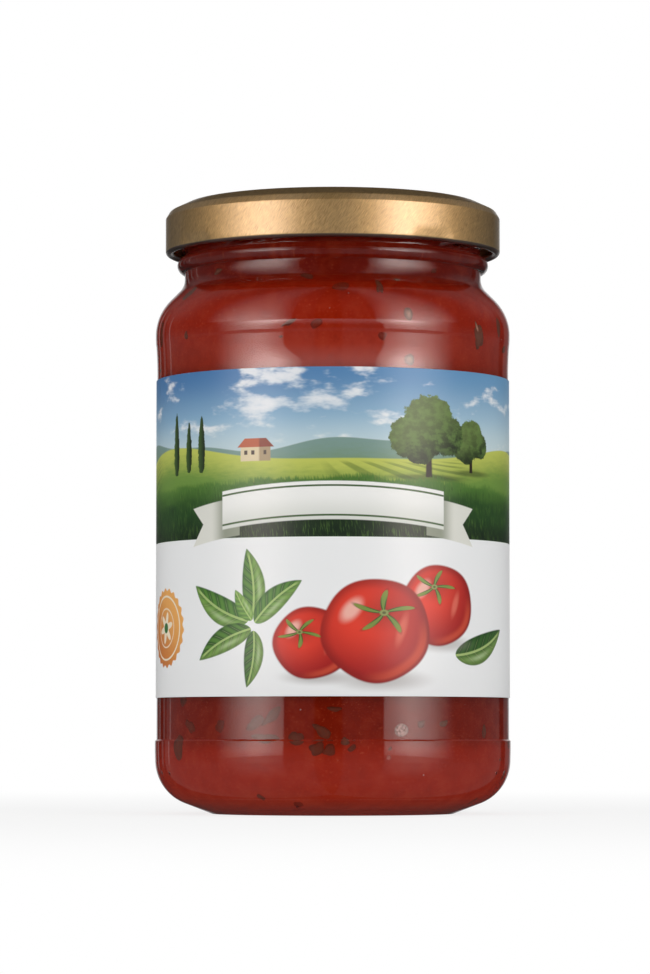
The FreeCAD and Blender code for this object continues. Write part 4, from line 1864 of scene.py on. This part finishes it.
@dataclass(frozen=True)
class CoatedPaper:
    """Coated white paper with a country picture above and produce on white below."""

    wrap: float
    height: float
    split: float = 30.6

    def build(self) -> bpy.types.Material:
        """Makes the material and returns it."""
        board = SurfaceBoard("printed_label")
        sheet = board.attribute("sheet").outputs["Vector"]
        ink: Feed = paint(250, 251, 251)
        for motif in self.produce() + self.country():
            printed = PrintSheet(motif).tree
            ink = board.flow("ShaderNodeGroup", {"Sheet": sheet, "Ink": ink}, node_tree=printed)
        fibre = board.noise(sheet, 0.35, 2.0, 0.6)
        ripple = board.noise(sheet, 13.0, 1.0, 0.4, (1.0, 3.0, 1.0))
        shader = board.surface(
            {
                "Base Color": ink,
                "Roughness": 0.34 + (fibre - 0.5) * 0.06,
                "Specular IOR Level": 0.5,
                "Normal": board.bump(ripple * 0.94 + fibre * 0.06, 0.12 * MM, 0.6),
            }
        )
        return board.finish(shader)

    def country(self) -> list[Motif]:
        """Lists what is printed on the upper half, from the back to the front."""
        return [
            Landscape(self.split, self.height, self.wrap),
            Farmhouse((-15.5, 45.3), 6.4, 4.6),
            Cypress((-37.0, 43.2), 12.5, 3.0),
            Cypress((-32.5, 43.6), 10.0, 2.6),
            Cypress((-28.6, 43.4), 11.4, 2.8),
            Tree((30.5, 43.6), 9.5, 10.5),
            Tree((19.5, 42.4), 14.5, 16.5),
            Tree((-74.0, 42.5), 13.0, 15.0),
            Tree((86.0, 42.8), 11.0, 12.0),
            Grass(self.split, self.wrap),
            Ribbon((0.0, 37.6)),
        ]

    def produce(self) -> list[Motif]:
        """Lists what is printed on the white half, from the back to the front."""
        deep, bright = paint(24, 70, 22), paint(92, 146, 54)
        return [
            Leaf((-17.0, 14.5), 15.0, 8.4, 152.0, 0.25, Side.RIGHT),
            Leaf((-16.0, 15.5), 13.0, 7.6, 96.0, -0.2, Side.LEFT),
            Leaf((-15.6, 14.2), 12.5, 7.0, 40.0, 0.2, Side.LEFT),
            Leaf((-16.4, 13.0), 14.0, 7.4, 205.0, -0.2, Side.RIGHT, deep),
            Leaf((-15.8, 12.6), 11.0, 6.4, 262.0, 0.2, Side.RIGHT, deep, bright),
            Leaf((-16.2, 14.6), 7.0, 4.6, 122.0, 0.1, Side.LEFT, paint(66, 118, 40), paint(150, 196, 88)),
            Leaf((26.0, 8.0), 17.0, 8.6, 18.0, -0.25, Side.LEFT, paint(22, 66, 24), paint(74, 124, 48)),
            Tomato((22.0, 17.6), 8.6, (-0.15, 0.45), 60.0),
            Tomato((-4.2, 10.2), 7.6, (-0.3, 0.3), 100.0),
            Tomato((8.6, 12.6), 11.0, (0.12, 0.34), 20.0),
            Medal((-42.0, 13.6), 7.6),
            BarePanel((-84.0, self.split / 2.0)),
            BarePanel((84.0, self.split / 2.0)),
        ]


@dataclass
class PrintedLabel:
    """The printed paper round the panel, with its two ends meeting at the back."""

    form: JarForm
    seam: float = 0.25
    gap: float = 0.008
    edge_round: float = 0.06
    steps: int = 240

    def build(self) -> bpy.types.Object:
        """Makes the label and returns it."""
        form = self.form
        inner = form.panel_radius + self.gap
        outer = form.panel_radius + form.label_thick
        low, high = form.label_bottom, form.label_top
        line = Outline(inner, low)
        line.corner((outer, low), (outer, high), self.edge_round, steps=3)
        line.to(outer, high - 0.1, 8.0)
        line.corner((outer, high), (inner, high), self.edge_round, steps=3)
        line.to(inner, high)
        label = turn_outline("paper_label", line, looped=True, seam=self.seam, steps=self.steps)
        self._mark_sheet(label, outer)
        wrap = 2.0 * math.pi * outer
        dress(label, CoatedPaper(wrap, high - low).build())
        settle(label, "printed_label", "label")
        return label

    def _mark_sheet(self, label: bpy.types.Object, radius: float) -> None:
        """Stores each point's place on the flat sheet, in millimetres from the front's foot.

        Args:
            label: The label.
            radius: Radius of its printed face.
        """
        marks = label.data.attributes.new("sheet", "FLOAT_VECTOR", "POINT")
        values: list[float] = []
        for vert in label.data.vertices:
            angle = math.atan2(vert.co.x, -vert.co.y)
            values += [angle * radius, vert.co.z / MM - self.form.label_bottom, 0.0]
        marks.data.foreach_set("vector", values)


# ---------------------------------------------------------------- studio


@dataclass(frozen=True)
class SoftBox:
    """A tall soft box beside the camera, in degrees round from the camera's side.

    Its light starts at inner, is strongest at peak and ends at outer. Higher up it shifts by lean, spread
    and draw, and gets stronger by gain. Focus is the extra strength of the band a little above level.
    """

    side: Side
    inner: float
    peak: float
    outer: float
    lean: float
    strength: float
    gain: float
    spread: float
    focus: float
    draw: float

    def glow(self, board: NodeBoard, azimuth: Signal, height: Signal) -> Signal:
        """Gives the light it sends from a direction.

        Args:
            board: The world's board.
            azimuth: The direction round the jar.
            height: The direction's height above level.

        Returns:
            Its radiance.
        """
        upper = board.ramp(height, 0.5, 6.5)
        aside = azimuth * self.side.value
        over = board.ramp(height, 6.0, 8.5)
        turn = aside + upper * self.lean - over * self.draw
        jump = 0.4 - 0.3 * upper
        rise = board.ramp(turn, self.inner, self.inner + 2.0)
        rise = rise * (jump + (1.0 - jump) * board.ramp(turn, self.inner, self.peak))
        fade = board.ramp(aside - over * self.spread, self.outer, self.peak - 7.0)
        foot = 0.16 * board.ramp(height, -45.0, -8.0) + 0.12 * board.ramp(height, -8.0, -3.9)
        foot = foot + 0.42 * board.ramp(height, -3.8, -3.4) + 0.3 * board.ramp(height, -3.4, -0.4)
        head = board.math("POWER", 0.959, (height - 6.0).most(0.0))
        hot = 1.0 + self.focus * hot_band(board, height) * board.ramp(aside, 72.0, 42.0)
        return rise * fade * foot * head * hot * (self.strength + upper * self.gain)


def hot_band(board: NodeBoard, height: Signal) -> Signal:
    """Marks the brightest band of the lights, a little above level."""
    return board.ramp(height, 0.9, 5.2, smooth=False) * board.ramp(height, 6.2, 5.6)


@dataclass
class Studio:
    """Pale floor, soft boxes, white surroundings and the camera.

    Each slit is a narrow light behind the jar, given by its direction, its half width and its strength.
    """

    boxes: tuple[SoftBox, ...] = (
        SoftBox(
            Side.LEFT, inner=31.0, peak=51.0, outer=83.0, lean=13.0,
            strength=3.9, gain=0.6, spread=9.0, focus=0.75, draw=7.5,
        ),
        SoftBox(
            Side.RIGHT, inner=32.0, peak=54.0, outer=87.0, lean=6.0,
            strength=4.0, gain=1.8, spread=5.0, focus=0.9, draw=0.5,
        ),
    )
    slits: tuple[Triple, ...] = ((-132.5, 1.4, 0.3), (-144.0, 3.0, 0.14), (-155.5, 3.0, 0.2))
    lamp_tint: Colour = (1.06, 0.94, 0.89, 1.0)
    spill: float = 0.42
    ambient: float = 0.6
    front_gain: float = 0.9
    side_gain: float = 0.1
    back_gain: float = 0.5
    wall_gain: float = 0.13
    wall_fall: float = 0.08
    under_gain: float = 0.13
    rear_gain: float = 0.11
    least_glow: float = 0.012
    floor_glow: float = 0.8
    shadow_reach: Point = (0.06, 0.4)
    camera_place: Triple = (-0.00156, -0.820, 0.0148)
    camera_tilt: float = 3.52
    lens: float = 151.54
    floor_size: float = 3.0
    floor_white: Colour = (0.86, 0.86, 0.86, 1.0)

    def build(self) -> None:
        """Makes the world, the floor and the camera."""
        self._build_world()
        self._build_floor()
        self._build_camera()
        bpy.context.scene.view_settings.view_transform = "Standard"

    def _build_world(self) -> None:
        """Lights the jar from two soft boxes, with white all round for what looks past it."""
        world = bpy.data.worlds.new("studio")
        world.use_nodes = True
        world.node_tree.nodes.clear()
        bpy.context.scene.world = world
        board = NodeBoard(world.node_tree)
        x, y, z = board.split(board.node("ShaderNodeTexCoord").outputs["Generated"])
        azimuth = board.math("ARCTAN2", x, -y) * (180.0 / math.pi)
        height = board.math("ARCSINE", z) * (180.0 / math.pi)
        turn = abs(azimuth)
        boxes: Value = 0.0
        for box in self.boxes:
            boxes = box.glow(board, azimuth, height) + boxes
        low = board.ramp(height, 20.0, 12.0) * board.ramp(height, -8.0, -1.0)
        behind = board.ramp(azimuth, 147.0, 150.0) * self.side_gain
        behind = behind + board.ramp(turn, 160.0, 171.0) * self.back_gain
        slits: Value = 0.0
        for middle, half, strength in self.slits:
            slits = board.ramp(abs(azimuth - middle), half, 0.3 * half) * strength + slits
        away = 0.1 + 0.9 * board.ramp(turn, 130.0, 80.0)
        under = board.ramp(height, 1.0, -8.0) * (0.03 + self.under_gain * board.ramp(height, -80.0, -50.0))
        walls = board.ramp(abs(azimuth + 3.0), 8.0, 10.0) * board.ramp(turn, 141.0, 137.0)
        walls = walls * (self.wall_gain - self.wall_fall * board.ramp(height, 1.0, 6.0))
        front = board.ramp(turn, 90.0, 50.0) * hot_band(board, height) * self.front_gain
        aside = board.ramp(turn, 98.0, 122.0) * board.ramp(turn, 168.0, 148.0)
        rear = (0.01 + self.rear_gain * aside) * board.ramp(height, 9.0, 25.0)
        rear = rear * board.ramp(height, 82.0, 55.0)
        mirrored = boxes + front + behind * low + slits * low + under * away + walls + rear + self.least_glow
        diffuse = boxes * self.spill + self.ambient
        rays = board.rays()
        seen = rays["Is Camera Ray"].most(rays["Is Transmission Ray"])
        glossy = rays["Is Glossy Ray"]
        lit = glossy * mirrored + (1.0 - glossy) * diffuse
        strength = seen + (1.0 - seen) * lit
        share = glossy * board.ramp(boxes, 0.1, 0.9)
        colour = board.mix(share, (1.0, 1.0, 1.0, 1.0), self.lamp_tint)
        light = board.flow("ShaderNodeBackground", {"Color": colour, "Strength": strength})
        board.node("ShaderNodeOutputWorld", {"Surface": light})

    def _build_floor(self) -> None:
        """Makes the white floor, which keeps a faint shadow near the jar."""
        shape = bmesh.new()
        bmesh.ops.create_grid(shape, x_segments=2, y_segments=2, size=self.floor_size / 2.0)
        floor = mesh_object("floor", shape)
        board = SurfaceBoard("pale_floor")
        x, y, _ = board.split(board.place())
        away = (x * x + y * y).root()
        rays = board.rays()
        seen = rays["Is Camera Ray"].most(rays["Is Transmission Ray"])
        mirrored = rays["Is Glossy Ray"] * (1.0 - seen)
        share = self.floor_glow + (1.0 - self.floor_glow) * board.ramp(away, *self.shadow_reach)
        matt = board.flow("ShaderNodeBsdfDiffuse", {"Color": self.floor_white})
        white = board.flow("ShaderNodeEmission", {"Strength": 1.0})
        clear = board.flow("ShaderNodeBsdfTransparent")
        dress(floor, board.finish(board.blend(mirrored, board.blend(seen * share, matt, white), clear)))

    def _build_camera(self) -> None:
        """Places the camera low in front of the jar, looking slightly up."""
        data = bpy.data.cameras.new("camera")
        data.lens = self.lens
        camera = bpy.data.objects.new("camera", data)
        camera.location = self.camera_place
        camera.rotation_euler = (math.radians(90.0 + self.camera_tilt), 0.0, 0.0)
        bpy.context.scene.collection.objects.link(camera)
        bpy.context.scene.camera = camera


# ---------------------------------------------------------------- the whole jar


def main() -> None:
    """Loads the frame and builds the jar's pieces in order."""
    logging.basicConfig(level=logging.INFO, format="%(name)s: %(message)s")
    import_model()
    form = JarForm()
    Studio().build()
    GlassJar(form).build()
    SauceFill(form).build()
    TwistLid().build()
    PrintedLabel(form).build()


if __name__ == "__main__":
    main()
